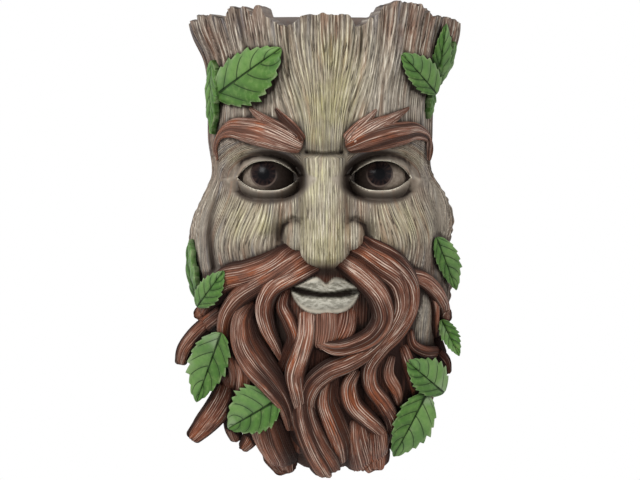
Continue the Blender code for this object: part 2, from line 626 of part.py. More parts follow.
def slot_outline(low_z, high_z, radius, y, sides=10):
    """A slot with round ends, from low_z to high_z."""
    points = []
    for middle, first in ((high_z, 0.0), (low_z, math.pi)):
        for i in range(sides + 1):
            turn = first + math.pi * i / sides
            points.append((radius * math.cos(turn), y, middle + radius * math.sin(turn)))
    return points


def keyhole_cutters():
    """The entry for the screw's head, the slot for its shank, and the room behind the lip."""
    seat = HANG_HEIGHT - ORIGIN_HEIGHT
    entry = seat - KEYHOLE_DROP
    head, shank = (SCREW_HEAD + SCREW_CLEARANCE) / 2, (SCREW_SHANK + SCREW_CLEARANCE) / 2
    outside = TRIM
    return [
        loft("keyhole_entry", [disc(entry, head, outside), disc(entry, head, -KEYHOLE_DEEP)]),
        loft(
            "keyhole_slot",
            [slot_outline(entry, seat, shank, outside), slot_outline(entry, seat, shank, -KEYHOLE_DEEP * 0.9)],
        ),
        loft(
            "keyhole_room",
            [
                slot_outline(entry, seat, head * 0.98, -KEYHOLE_LIP),
                slot_outline(entry, seat, head * 0.98, -KEYHOLE_DEEP * 0.98),
            ],
        ),
    ]


def combine(made, other, operation):
    modifier = made.modifiers.new(f"{operation.title()} {other.name}", "BOOLEAN")
    modifier.operation = operation
    modifier.object = other
    modifier.solver = "EXACT"


def material(name, colour, roughness):
    made = bpy.data.materials.new(name)
    made.use_nodes = True
    shader = made.node_tree.nodes["Principled BSDF"]
    shader.inputs["Base Color"].default_value = (*colour, 1)
    shader.inputs["Roughness"].default_value = roughness
    shader.inputs["Metallic"].default_value = 0
    return made


def clear_scene():
    for old in list(bpy.data.objects):
        bpy.data.objects.remove(old)


def main():
    clear_scene()
    planter = sculpture()
    bark = BVHTree.FromObject(planter, bpy.context.evaluated_depsgraph_get())
    for leaf in leaf_meshes(bark):
        combine(planter, use_as_cutter(leaf), "UNION")
    behind = box_cutter(
        "wall", (-WIDTH, 0.0, -ORIGIN_HEIGHT - HEIGHT), (WIDTH, DEPTH, 2 * HEIGHT - ORIGIN_HEIGHT)
    )
    for cutter in (behind, pocket(), *keyhole_cutters()):
        combine(planter, cutter, "DIFFERENCE")
    without_crumbs(baked(planter))
    planter.data.materials.append(material("painted_resin", RESIN_BARK, 0.7))


main()
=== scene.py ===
"""Painted look of the wall planter: carved bark, beard, brows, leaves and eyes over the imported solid."""
import math

import bpy
import numpy as np
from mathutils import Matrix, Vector
from mathutils.bvhtree import BVHTree


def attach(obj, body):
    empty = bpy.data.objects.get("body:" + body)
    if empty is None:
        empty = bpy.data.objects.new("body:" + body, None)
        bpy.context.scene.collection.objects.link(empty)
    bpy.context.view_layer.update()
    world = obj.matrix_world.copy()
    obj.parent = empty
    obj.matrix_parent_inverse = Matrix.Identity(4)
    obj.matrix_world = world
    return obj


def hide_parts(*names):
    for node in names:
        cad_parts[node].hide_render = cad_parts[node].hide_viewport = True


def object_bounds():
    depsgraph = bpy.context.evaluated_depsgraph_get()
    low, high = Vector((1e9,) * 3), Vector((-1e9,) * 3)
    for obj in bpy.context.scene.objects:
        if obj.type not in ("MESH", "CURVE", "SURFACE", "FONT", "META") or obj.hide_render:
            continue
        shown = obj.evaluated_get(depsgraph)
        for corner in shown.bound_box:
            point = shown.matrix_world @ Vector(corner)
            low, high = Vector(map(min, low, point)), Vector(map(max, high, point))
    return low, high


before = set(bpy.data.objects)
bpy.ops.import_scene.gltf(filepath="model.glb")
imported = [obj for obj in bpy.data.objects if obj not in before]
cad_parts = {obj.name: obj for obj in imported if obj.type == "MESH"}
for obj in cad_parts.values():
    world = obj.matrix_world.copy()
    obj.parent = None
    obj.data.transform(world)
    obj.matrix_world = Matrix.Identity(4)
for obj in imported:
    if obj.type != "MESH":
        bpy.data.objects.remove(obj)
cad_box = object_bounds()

# Overall size, as in the part's own source
HEIGHT, WIDTH, DEPTH = 0.300, 0.180, 0.118
ORIGIN_HEIGHT = 0.215
RIM_WALL, NECK_WALL, BROW_WALL = 0.0090, 0.0120, 0.0160
FLOOR_SIDE_WALL, FLOOR_FRONT_WALL, BACK_WALL = 0.0180, 0.0200, 0.0120
FLOOR_HEIGHT = 0.0620
NECK_HEIGHT = 0.84 * HEIGHT
POCKET_CORNER = 3.2
KEYHOLE_SEAT, KEYHOLE_ENTRY = 0.0350, 0.0220
KEYHOLE_HEAD, KEYHOLE_SHANK = 0.0055, 0.00325
KEYHOLE_DEEP, KEYHOLE_LIP = 0.0075, 0.0030
PLATE_THICK = 0.0100
LEAF_THICK, LEAF_SINK, LEAF_KEEL = 0.0034, 0.0008, 0.0080
LEAF_RAKE, LEAF_BEND, LEAF_TILT = 0.80, 0.50, 0.55

# The carving grid: x from the middle of the face, z up from the beard's tip, d forward from the wall
GRID_WIDE, GRID_DEEP, GRID_HIGH = 288, 188, 480
SCALE = np.array([WIDTH / GRID_WIDE, DEPTH / GRID_DEEP, HEIGHT / GRID_HIGH])

LEFT_SIDE = [
    (8, 20), (30, 56), (60, 84), (95, 100), (140, 118), (190, 131), (232, 137),
    (262, 133), (282, 124), (303, 115), (345, 118), (395, 118), (425, 122), (450, 134), (480, 139),
]
RIGHT_SIDE = [
    (8, 20), (30, 60), (60, 100), (95, 118), (140, 120), (190, 129), (232, 127),
    (262, 131), (285, 124), (308, 110), (345, 110), (390, 114), (425, 131), (450, 136), (480, 138),
]
FRONT = [(8, 48), (40, 84), (80, 112), (130, 134), (200, 146), (300, 146), (390, 144), (440, 148), (480, 158)]
SQUARENESS = [(8, 2.0), (120, 2.3), (260, 2.6), (400, 2.5), (480, 2.9)]
RIM = 460
RIM_KNOBS = [
    (-122, 10, 4), (-87, 12, 10.5), (-67.5, 4.5, 11), (-41, 14, -8), (0, 24, 2), (38, 8.5, -9),
    (83, 25, 15), (124, 11, 3),
]
BACK_RIM = 468
# Rings of the stump: the lowest one, and where they begin to be stretched to the broken rim
STUMP_FOOT, STRETCH_FROM = 8, 400
# Depth of the closed skin inside the back plate, and the heights between which it changes
SKIN_AT_RIM, SKIN_BEHIND_KEYHOLE = 1.6, 13.6
SKIN_CHANGES = (415, 450)
BACK_STEPS = 8
FACE_TOP, FACE_HALF_WIDTH = 325, 114
NOSE_HALF_WIDTH = [(205, 15), (218, 21), (232, 21.5), (255, 20.5), (285, 19.5), (330, 19.5)]
# Mounds, alike on both sides: strength, middle, reach and power
BROAD_FORMS = [
    (5, (0, 350), (75, 60), 2), (7, (55, 337), (46, 13), 2), (15, (80, 246), (34, 31), 2.6),
    (10, (0, 190), (46, 38), 2), (8, (0, 150), (34, 22), 2), (-8, (42, 248), (8, 16), 2),
]
MOSSY = [
    (0.75, (0, 245), (26, 55), 3), (0.75, (74, 258), (32, 30), 2.4), (0.5, (86, 322), (18, 12), 2),
    (0.35, (0, 300), (20, 20), 2),
]
# Paler places, alike on both sides: strength, middle, reach and power; on the nose's top and wings the paler
# coat is painted light
PALER = [
    (1, (0, 300), (15, 26), 4), (0.55, (0, 250), (18, 30), 4), (0.8, (70, 395), (38, 42), 3),
    (0.5, (30, 244), (10, 12), 3),
]
EYE = (55.5, 302)
EYE_BALL = 26.0
EYE_DEEP = 103
EYE_HALF_WIDTH = 31.0
EYE_ABOVE, EYE_BELOW = 16.8, 13.4
LID = 5.0
LID_RIM_OUT, LID_RIM_UP = 0.8, 0.6
RING_MIDDLE = (62, 300)
IRIS_LEFT, IRIS_RIGHT, IRIS_HIGH, IRIS_REACH = -59.8, 55.0, 305.6, 13.4

# Locks: points of the route as x, z, lift off the bark and width
BEARD = {
    "bed_left": [
        (-30, 212, -5, 30), (-60, 196, -5, 46), (-78, 160, -6, 62), (-76, 110, -6, 60), (-66, 60, -5, 44),
    ],
    "bed_middle": [
        (0, 166, -9, 36), (0, 140, -8, 66), (0, 100, -7, 80), (4, 60, -6, 84), (10, 22, -4, 66),
    ],
    "bed_right": [
        (26, 222, -5, 20), (58, 196, -5, 40), (62, 160, -6, 46), (62, 110, -6, 66), (60, 50, -5, 50),
    ],
    "moustache_left_top": [
        (-26, 234, 2, 16), (-52, 217, 7, 22), (-74, 208, 7, 24), (-94, 202, 6, 24), (-107, 189, 5, 20),
        (-118, 173, 5, 16), (-128, 160, 4, 10),
    ],
    "moustache_left_long": [
        (-12, 228, 4, 16), (-42, 210, 8, 19), (-66, 196, 10, 17), (-84, 183, 11, 17), (-96, 164, 11, 16),
        (-98, 146, 10, 16), (-93, 128, 9, 15), (-88, 109, 8, 14), (-92, 88, 6, 9),
    ],
    "moustache_left_lens": [
        (-68, 182, 2, 9), (-78, 166, 6, 20), (-77, 143, 10, 30), (-66, 120, 13, 33), (-50, 97, 14, 25),
        (-38, 75, 13, 15), (-33, 50, 10, 7),
    ],
    "moustache_left_inner": [
        (-5, 217, 1, 13), (-29, 206, 6, 17), (-50, 194, 10, 17), (-59, 174, 11, 17), (-56, 154, 10, 15),
        (-48, 136, 8, 11), (-41, 120, 5, 5),
    ],
    "mouth_corner_left": [
        (-36, 194, 1, 8), (-41, 176, 5, 13), (-34, 159, 7, 14), (-30, 145, 7, 13), (-37, 127, 6, 11),
        (-44, 108, 4, 8),
    ],
    "chin_left": [
        (-15, 180, -14, 19), (-15, 167, -6, 19), (-16, 151, 4, 19), (-22, 130, 8, 19), (-28, 109, 9, 20),
        (-25, 89, 9, 18), (-21, 66, 7, 12),
    ],
    "chin_middle": [(2, 180, -14, 26), (2, 166, -7, 27), (2, 151, 3, 27), (-2, 134, 4, 17)],
    "chin_right": [(22, 180, -14, 20), (21, 167, -6, 21), (18, 152, 3, 22), (11, 138, 4, 15)],
    "moustache_right_inner": [
        (11, 224, 2, 15), (36, 206, 9, 20), (54, 184, 13, 21), (58, 163, 14, 21), (48, 146, 15, 20),
        (30, 137, 16, 18), (10, 134, 16, 15), (-7, 139, 12, 6),
    ],
    "moustache_right_second": [
        (25, 232, 3, 15), (52, 216, 8, 19), (71, 197, 12, 18), (74, 175, 12, 17), (65, 154, 10, 15),
        (48, 135, 10, 16), (26, 121, 12, 18), (4, 111, 13, 18), (-11, 97, 12, 17), (-16, 81, 10, 14),
        (-9, 62, 6, 8),
    ],
    "moustache_right_third": [
        (34, 240, 3, 12), (68, 221, 7, 17), (84, 196, 9, 18), (84, 173, 9, 18), (73, 150, 9, 16),
        (56, 131, 10, 14), (45, 113, 11, 14), (46, 97, 11, 14), (58, 79, 11, 15), (67, 60, 10, 15),
        (65, 38, 7, 10),
    ],
    "curl_right": [
        (33, 114, 6, 9), (24, 97, 9, 15), (27, 79, 11, 17), (40, 64, 12, 17), (54, 50, 11, 15),
        (62, 32, 8, 11),
    ],
    "cheek_root": [
        (75, 207, 4, 11), (95, 202, 5, 14), (110, 189, 5, 15), (119, 173, 5, 14), (124, 157, 5, 9),
    ],
    "thin_root": [
        (105, 194, 3, 8), (111, 174, 4, 8), (112, 152, 5, 8), (116, 137, 5, 8), (121, 124, 5, 7),
    ],
    "low_root": [
        (84, 152, 3, 9), (87, 137, 5, 11), (99, 129, 6, 11), (113, 127, 7, 11), (122, 119, 8, 10),
        (126, 105, 8, 6),
    ],
    "strand_right_inner": [(67, 127, 3, 9), (63, 109, 5, 13), (71, 91, 6, 13), (75, 74, 4, 7)],
    "strand_right_outer": [(77, 137, 2, 11), (82, 118, 4, 16), (89, 97, 5, 16), (92, 78, 3, 9)],
    "root_left_upper": [
        (-98, 171, 0, 13), (-116, 156, 4, 16), (-131, 142, 6, 16), (-141, 129, 7, 13), (-145, 114, 7, 9),
    ],
    "strand_left_back": [(-83, 128, 0, 18), (-77, 109, 1, 20), (-78, 90, 1, 20), (-84, 70, 0, 16)],
    "root_left_low": [
        (-91, 112, 3, 18), (-98, 88, 7, 24), (-108, 69, 10, 24), (-121, 53, 12, 20), (-135, 38, 13, 12),
    ],
    "root_left_hidden": [(-92, 66, -4, 18), (-92, 50, -4, 16), (-88, 35, -4, 10)],
    "root_left_small": [(-66, 60, 2, 18), (-75, 39, 4, 16), (-84, 27, 5, 9)],
    "root_left_big": [(-60, 78, 3, 28), (-53, 48, 8, 38), (-44, 24, 11, 34), (-38, 2, 11, 15)],
    "strand_dark_left": [(-28, 70, -6, 20), (-25, 46, -5, 22), (-26, 26, -5, 12)],
    "lock_centre": [
        (-22, 94, 4, 17), (-19, 66, 8, 24), (-10, 41, 11, 28), (0, 20, 12, 30), (5, 4, 11, 24),
    ],
    "strand_centre": [(6, 106, 2, 13), (2, 86, 5, 20), (9, 63, 7, 23), (17, 40, 8, 23), (19, 17, 7, 16)],
    "strand_dark_right": [(22, 98, -5, 18), (23, 66, -4, 20), (24, 30, -4, 14)],
    "lock_low_right": [(32, 66, 3, 18), (33, 42, 7, 25), (35, 20, 9, 28), (35, 7, 9, 26)],
    "lock_low_outer": [(50, 57, 3, 24), (50, 34, 7, 28), (51, 16, 8, 26), (52, 5, 7, 20)],
    "tuft_right": [(82, 70, -2, 22), (76, 48, 0, 22), (72, 26, 0, 14)],
}
LOCK_FLAT, BED_FLAT, BROW_FLAT = 0.80, 0.34, 0.55
# The beard's side pieces start this far from the middle, and the brows' patterns are numbered from here
BEARD_SIDE, BROW_NUMBERS = 45, 60
BROWS = {
    "brow_left": [
        (-21, 331, 3, 13), (-40, 338, 6, 22), (-58, 344, 6, 25), (-76, 349, 5, 23), (-92, 351, 4, 17),
        (-104, 345, 4, 9), (-109, 333, 3, 7), (-107, 320, 1, 4),
    ],
    "brow_left_fork": [(-26, 335, 5, 16), (-45, 348, 7, 18), (-60, 359, 4, 11), (-74, 371, 1, 3)],
    "brow_left_tuft": [(-22, 335, 5, 14), (-34, 350, 5, 14), (-48, 370, 1, 3)],
    "brow_right": [
        (21, 331, 3, 13), (38, 337, 6, 22), (58, 342, 6, 25), (76, 346, 5, 23), (92, 349, 4, 17),
        (104, 344, 3, 10), (107, 331, 2, 7), (106, 320, 1, 4),
    ],
    "brow_right_fork": [(26, 336, 5, 16), (49, 350, 7, 18), (68, 361, 4, 11), (85, 372, 1, 3)],
    "brow_right_tuft": [(22, 336, 5, 14), (36, 350, 5, 13), (52, 369, 1, 3)],
}
# Locks with the most pale dry-brush on them
PALE_LOCKS = {
    "moustache_right_inner": 0.9, "moustache_right_second": 0.75, "moustache_left_inner": 0.7,
    "moustache_left_lens": 0.45, "chin_left": 0.7, "curl_right": 0.8, "strand_centre": 0.8,
    "moustache_right_third": 0.7, "lock_centre": 0.6, "brow_left_fork": 1.3, "brow_right_fork": 1.3,
    "brow_left_tuft": 1.3, "brow_right_tuft": 1.3, "brow_left": 0.7, "brow_right": 0.9,
    "chin_middle": 0.1, "chin_right": 0.1,
}

# Leaves: stalk end and tip as x, z in front and as x, d, z at the corners, how wide the blade is, and
# by what share one half is wider
FRONT_LEAVES = {
    "leaf_forehead_left": ((-110, 384), (-42, 429), 51, 0.17),
    "leaf_forehead_right": ((113, 386), (76, 425), 31, 0.2),
    "leaf_rim_right": ((113, 393), (122, 456), 19, 0.08),
    "leaf_cheek_right": ((112, 243), (134, 189), 24, -0.25),
    "leaf_jaw_right": ((118, 160), (135, 124), 18, -0.1),
    "leaf_beard_right": ((121, 86), (82, 120), 36, 0.15),
    "leaf_beard_low_right": ((103, 87), (70, 21), 40, -0.12),
    "leaf_beard_left": ((-102, 148), (-129, 76), 40, 0.13),
    "leaf_beard_low_left": ((-45, 82), (-97, 50), 49, 0.17),
    "leaf_cheek_left": ((-127, 173), (-99, 210), 25, 0.05),
}
SIDE_LEAVES = {
    "leaf_temple_left": ((-112, 84, 421), (-113, 78, 346), 32, -0.1),
    "leaf_edge_left": ((-132, 70, 173), (-136, 64, 241), 34, 0.1),
    "leaf_temple_right": ((112, 74, 396), (112, 70, 362), 22, 0.0),
    "leaf_edge_right": ((112, 84, 396), (130, 70, 440), 28, 0.1),
}
SIDE_LEAF_TURN = math.radians(66)
LEAF_TEETH = 8
LEAF_VEINS = 5

LOCK_FULL = 1.16
# The surface that the locks run on: its least share of the front's depth, and its share of the broad forms
CARRIER_LEAST, CARRIER_FORM = 0.42, 0.8
FLOOR_DROP, FLOOR_WIDE = 0.6, 3.0
PHOTO_WIDE = 640
BUMP_DEPTH = 0.0006
HAIR_STRAND, BARK_STRAND, FACE_STRAND = 2.5, 3.8, 2.8


def through(knots, at):
    """A smooth curve through knots of (parameter, value ...), read at each parameter of at."""
    knots = np.array(knots, float)
    t, values = knots[:, 0], knots[:, 1:]
    slope = np.gradient(values, t, axis=0)
    at = np.clip(np.asarray(at, float), t[0], t[-1])
    left = np.clip(np.searchsorted(t, at, side="right") - 1, 0, len(t) - 2)
    span = t[left + 1] - t[left]
    u = ((at - t[left]) / span)[..., None]
    span = span[..., None]
    return (
        (2 * u**3 - 3 * u**2 + 1) * values[left]
        + (u**3 - 2 * u**2 + u) * span * slope[left]
        + (3 * u**2 - 2 * u**3) * values[left + 1]
        + (u**3 - u**2) * span * slope[left + 1]
    )


def rise(low, high, value):
    t = np.clip((value - low) / (high - low), 0, 1)
    return t * t * (3 - 2 * t)


def mound(x, z, middle, reach, power=2.0):
    across, up = np.abs((x - middle[0]) / reach[0]), np.abs((z - middle[1]) / reach[1])
    return np.exp(-(across**power) - up**power)


def mounds(x, z, rows):
    return sum(strength * mound(x, z, *shape) for strength, *shape in rows)


def bell(value, width, power=2.0):
    return np.exp(-(np.abs(value / width) ** power))


def share_of(value, full):
    return np.clip(value / full, 0, 1)


def profile_at(profile, z):
    return through(profile, z)[..., 0]


def crease(x, z, points, width):
    nearest = np.full(np.shape(x), 1e9)
    for (xa, za), (xb, zb) in zip(points, points[1:]):
        along = ((x - xa) * (xb - xa) + (z - za) * (zb - za)) / ((xb - xa) ** 2 + (zb - za) ** 2)
        along = np.clip(along, 0, 1)
        nearest = np.minimum(nearest, np.hypot(x - xa - along * (xb - xa), z - za - along * (zb - za)))
    return bell(nearest, width)


def patchy(u, v, seed=0.0):
    """Smooth patches of chance from 0 to 1, one to each unit of u and v."""
    i, j = np.floor(u), np.floor(v)
    f, g = u - i, v - j
    f, g = f * f * (3 - 2 * f), g * g * (3 - 2 * g)

    def chance(a, b):
        value = np.sin(a * 127.1 + b * 311.7 + seed * 74.7) * 43758.5453
        return value - np.floor(value)

    low = chance(i, j) * (1 - f) + chance(i + 1, j) * f
    high = chance(i, j + 1) * (1 - f) + chance(i + 1, j + 1) * f
    return low * (1 - g) + high * g


def streaks(across, along, width, length, seed=0.0):
    """Long carved ridges, 0 in the grooves and 1 on the crests."""
    wander = 0.5 * width * (patchy(across / 40, along / length * 2, seed + 5) - 0.5)
    big = patchy((across + wander) / width, along / length, seed)
    small = patchy((across + wander) / width * 2.3, along / length * 1.7, seed + 1)
    return rise(0.2, 0.8, 0.68 * big + 0.32 * small)


def combed(across, along, period, seed=0.0):
    """Which strand a place is on: whole numbers on the crests, halves in the grooves, wandering a little."""
    wander = 2.6 * patchy(across / 15, along / 120, seed) + 0.8 * patchy(across / 6, along / 45, seed + 3)
    return across / period + wander


def crests(strand, patches):
    """Height of the strands, most on whole numbers and uneven by the patches."""
    return (0.5 + 0.5 * np.cos(2 * math.pi * strand)) ** 0.7 * (0.5 + patches)


def side_reach(x, z):
    return np.where(x < 0, profile_at(LEFT_SIDE, z), profile_at(RIGHT_SIDE, z))


def rim_height(x):
    height = np.full(np.shape(x), float(RIM))
    for middle, half_width, tall in RIM_KNOBS:
        height = height + tall * bell(x - middle, half_width, 4)
    return height


def broad_form(x, z):
    return mounds(np.abs(x), z, BROAD_FORMS)


def nose(x, z):
    ax = np.abs(x)
    down = np.clip((328 - z) / 102, 0, 1)
    under = 212 + 0.0135 * ax**2
    bridge = (11 + 20 * down) * rise(under - 3, under + 9, z) * (1 - rise(322, 330, z))
    ridge = bridge * np.exp(-((ax / profile_at(NOSE_HALF_WIDTH, z)) ** 5) * 0.7)
    tip = 5 * mound(x, z, (0, 230), (16, 14))
    ball = np.clip(1 - ((ax - 28.5) / 12) ** 2 - ((z - 243) / 15) ** 2, 0, 1)
    wings = 19 * np.sqrt(ball) * rise(under - 3, under + 5, z)
    return ((ridge + tip) ** 2.6 + wings**2.6) ** (1 / 2.6)


def lid_bow(u, upper):
    """The share of its bow that a lid's edge has lost at u from the eye's middle, and the full bow."""
    outward = rise(-10, 10, u)
    power = np.where(upper, 1.9 + 0.9 * outward, 2.5)
    full = np.where(upper, EYE_ABOVE, EYE_BELOW)
    return (np.abs(u) / EYE_HALF_WIDTH) ** power, full


def eye_edge(x, z):
    """Distance outside the eye's opening, negative inside, and which lid is nearer: 1 upper, 0 lower."""

    def form(u, v):
        share, full = lid_bow(u, v > 0)
        return share + np.abs(v) / full - 1

    u, v, nudge = np.abs(x) - EYE[0], z - EYE[1], 0.5
    here = form(u, v)
    slope = np.hypot(form(u + nudge, v) - here, form(u, v + nudge) - here) / nudge
    return here / np.maximum(slope, 0.03), rise(-2, 2, v)


def with_eyes(x, z, surface):
    ax = np.abs(x)
    surface = surface - 13 * mound(ax, z, (52, 307), (35, 19), 2.6) - 11 * mound(ax, z, (29, 305), (9, 14))
    edge, upper = eye_edge(x, z)
    from_middle = (ax - EYE[0]) ** 2 + (z - EYE[1]) ** 2
    lid = EYE_DEEP + np.sqrt(np.maximum((EYE_BALL + LID) ** 2 - from_middle, 40.0))
    lid += 1.2 * bell(edge - 1.5, 2)
    reach = 11.0 - 4.5 * upper
    beside_nose = rise(15, 21, ax)
    blend = (1 - rise(reach - 3, reach + 2, edge)) * beside_nose
    surface = surface * (1 - blend) + lid * blend
    inner = rise(12, -14, ax - EYE[0])
    groove = np.where(upper > 0.5, 6.0 + 4.0 * inner, 3.5) * (1 - 0.7 * rise(22, 38, ax - EYE[0]))
    surface -= groove * beside_nose * bell(edge - reach, 2.0 + 1.2 * upper)
    ball = EYE_DEEP + np.sqrt(np.maximum(EYE_BALL**2 - from_middle, 30.0)) - 2.5
    return np.where(edge < 0, ball, surface)


def lips(x, z):
    """Height of the lips, 1 where they are, and the pale line along their edges."""
    across = np.clip(np.abs(x - 1.5) / 35, 0, 1)
    slit = 186 + np.where(x < 1.5, 7, 4) * across**2
    top = 192 + 13 * (1 - across**1.5) - 9 * bell(x - 2, 6)
    low = 190 - 23 * (1 - across**3.6)
    inside = 1 - rise(0.9, 1.0, across)
    up = np.clip((z - slit) / np.maximum(top - slit, 1), 0, 1)
    down = np.clip((slit - z) / np.maximum(slit - low, 1), 0, 1)
    upper = (2.5 + 6 * np.sqrt(1 - up**2)) * (z >= slit) * (1 - rise(top - 1, top + 1.5, z))
    lower = 2.5 + 8 * np.sin(math.pi * np.clip(0.15 + down * 0.85, 0, 1))
    lower = lower * (z < slit) * rise(low - 2, low + 1, z)
    open_by = 2.6 + 1.3 * bell(across - 0.6, 0.28)
    height = inside * (upper + lower - 13 * bell(z - slit, open_by, 4))
    edge = bell(z - top + 0.6, 1.4) + bell(z - low - 2.5, 1.7)
    edge = edge * inside * (0.4 + patchy(x / 4, z / 9, 2))
    return height, inside * rise(low - 1, low + 2, z) * (1 - rise(top - 1, top + 2, z)), edge


def face(x, z, surface):
    ax = np.abs(x)
    surface = surface + broad_form(x, z)
    lobe = (1 - rise(12, 18, ax - 0.2 * (z - 327))) * rise(323, 329, z) * (1 - rise(350, 430, z))
    surface = surface + 6 * lobe
    surface = with_eyes(x, z, surface)
    surface = surface + nose(x, z) + lips(x, z)[0]
    surface -= 8 * crease(x, z, [(-17, 326), (0, 324), (17, 326)], 2.3)
    surface -= 4 * crease(ax, z, [(20, 259), (31, 261), (40, 254), (43, 240)], 2.6)
    outer_fold = np.where(x < 0, 13.0, 7.0) * (1 - rise(276, 292, z))
    surface -= outer_fold * crease(ax, z, [(96, 291), (108, 280), (113, 264), (114, 244), (109, 212)], 4.2)
    surface -= 3 * crease(x, z, [(2, 212), (2, 200)], 5.0)
    return surface


def flutes(around, z):
    depth = 0.6 + 2.2 * rise(350, 465, z)
    waves = np.sin(around * 41) + 0.7 * np.sin(around * 67 + 1.3) + 0.6 * np.sin(around * 103 + 0.4)
    at_sides = 1.5 * rise(0.82, 0.97, np.abs(np.cos(around)))
    return 0.5 * waves * np.maximum(depth * rise(225, 330, z), at_sides * rise(0, 120, z))


def squared_round(turn, reach, deep, power):
    """Points of a round with squared shoulders."""
    across, out = np.cos(turn), np.sin(turn)
    radius = (np.abs(across / reach) ** power + np.abs(out / deep) ** power) ** (-1 / power)
    return radius * across, radius * out


def section_point(turn, z):
    reach = side_reach(np.cos(turn), z)
    return squared_round(turn, reach, profile_at(FRONT, z), profile_at(SQUARENESS, z))


def carrier(x, z):
    """The surface that the locks run on."""
    share = np.minimum(np.abs(x) / side_reach(x, z), 1.0)
    power = profile_at(SQUARENESS, z)
    full = (1 - share**power) ** (1 / power)
    return profile_at(FRONT, z) * np.maximum(full, CARRIER_LEAST) + broad_form(x, z) * CARRIER_FORM


def to_metres(points):
    return np.asarray(points, float) * SCALE * (1, -1, 1) - (0, 0, ORIGIN_HEIGHT)


def to_grid(points):
    return (np.asarray(points, float) + (0, 0, ORIGIN_HEIGHT)) * (1, -1, 1) / SCALE


# Clay: every carved piece starts as a sheet of squares whose corners are then laid on a computed form

def corner_data(made, kind):
    flat = np.empty(len(made.data.vertices) * 3)
    made.data.vertices.foreach_get(kind, flat)
    return flat.reshape(-1, 3)


def mark(made, traits):
    """Write numbers for the paint on a piece's corners."""
    for trait, values in traits.items():
        written = made.data.attributes.new(trait, "FLOAT", "POINT")
        written.data.foreach_set("value", values.astype(np.float32))


def pick(pieces):
    bpy.ops.object.select_all(action="DESELECT")
    for piece in pieces:
        piece.select_set(True)
    bpy.context.view_layer.objects.active = pieces[0]


def clay(name, points, traits, paint):
    """A sheet of squares with its corners at the grid points, closed where its edges meet."""
    rows, columns = points.shape[:2]
    bpy.ops.object.select_all(action="DESELECT")
    bpy.ops.mesh.primitive_grid_add(
        x_subdivisions=columns - 1, y_subdivisions=rows - 1, size=1, calc_uvs=False
    )
    made = bpy.context.object
    made.name = made.data.name = name
    flat = corner_data(made, "co")
    i = np.rint((flat[:, 0] + 0.5) * (columns - 1)).astype(int)
    j = np.rint((flat[:, 1] + 0.5) * (rows - 1)).astype(int)
    made.data.vertices.foreach_set("co", to_metres(points)[j, i].ravel())
    mark(made, {trait: np.broadcast_to(values, (rows, columns))[j, i] for trait, values in traits.items()})
    bpy.ops.object.mode_set(mode="EDIT")
    bpy.ops.mesh.select_all(action="SELECT")
    bpy.ops.mesh.remove_doubles(threshold=1e-7)
    bpy.ops.mesh.normals_make_consistent(inside=False)
    bpy.ops.object.mode_set(mode="OBJECT")
    bpy.ops.object.shade_smooth()
    made.data.materials.append(paint)
    return made


def joined(name, made):
    pick(made)
    bpy.ops.object.join()
    made[0].name = made[0].data.name = name
    return made[0]


def evenly(dense, spacing):
    """Parameters along dense ones so that each step covers its own spacing, given as a local length."""
    total = np.concatenate([[0], np.cumsum(spacing)])
    return np.interp(np.linspace(0, total[-1], int(round(total[-1])) + 1), total, dense)


# The stump with the face, its rim and its pocket

def pocket_ring(height, half_width, deep, turns):
    x, d = squared_round(turns, half_width, deep - BACK_WALL, POCKET_CORNER)
    return np.stack([x / SCALE[0], (BACK_WALL + d) / SCALE[1], np.full_like(x, height / SCALE[2])], axis=-1)


def pocket_rings(turns):
    rings = []
    for height, side_wall, front_wall in (
        (HEIGHT, RIM_WALL, RIM_WALL),
        (NECK_HEIGHT, NECK_WALL, BROW_WALL),
        (FLOOR_HEIGHT, FLOOR_SIDE_WALL, FLOOR_FRONT_WALL),
    ):
        z = height / SCALE[2]
        narrow = min(profile_at(LEFT_SIDE, z), profile_at(RIGHT_SIDE, z)) * SCALE[0]
        deep = profile_at(FRONT, z) * SCALE[1]
        rings.append(pocket_ring(height, narrow - side_wall, deep - front_wall, turns))
    return rings


def between(first, last, count):
    """The rings that follow the first one, in equal steps down to the last."""
    return [first + (last - first) * share for share in np.linspace(0, 1, count)[1:]]


def stump_turns():
    """Turns round the front, closest over the face, and how far round from its middle each one is."""
    dense = np.linspace(0, math.pi, 6000)
    xs, ds = section_point(dense, np.array(300.0))
    steps = np.hypot(np.diff(xs), np.diff(ds))
    arc = np.concatenate([[0], np.cumsum(steps)])
    fine = np.where(np.abs(xs[1:]) < 113, 1.28, 2.6)
    turns = evenly(dense, steps / fine)
    return turns, np.interp(math.pi / 2, dense, arc) - np.interp(turns, dense, arc)


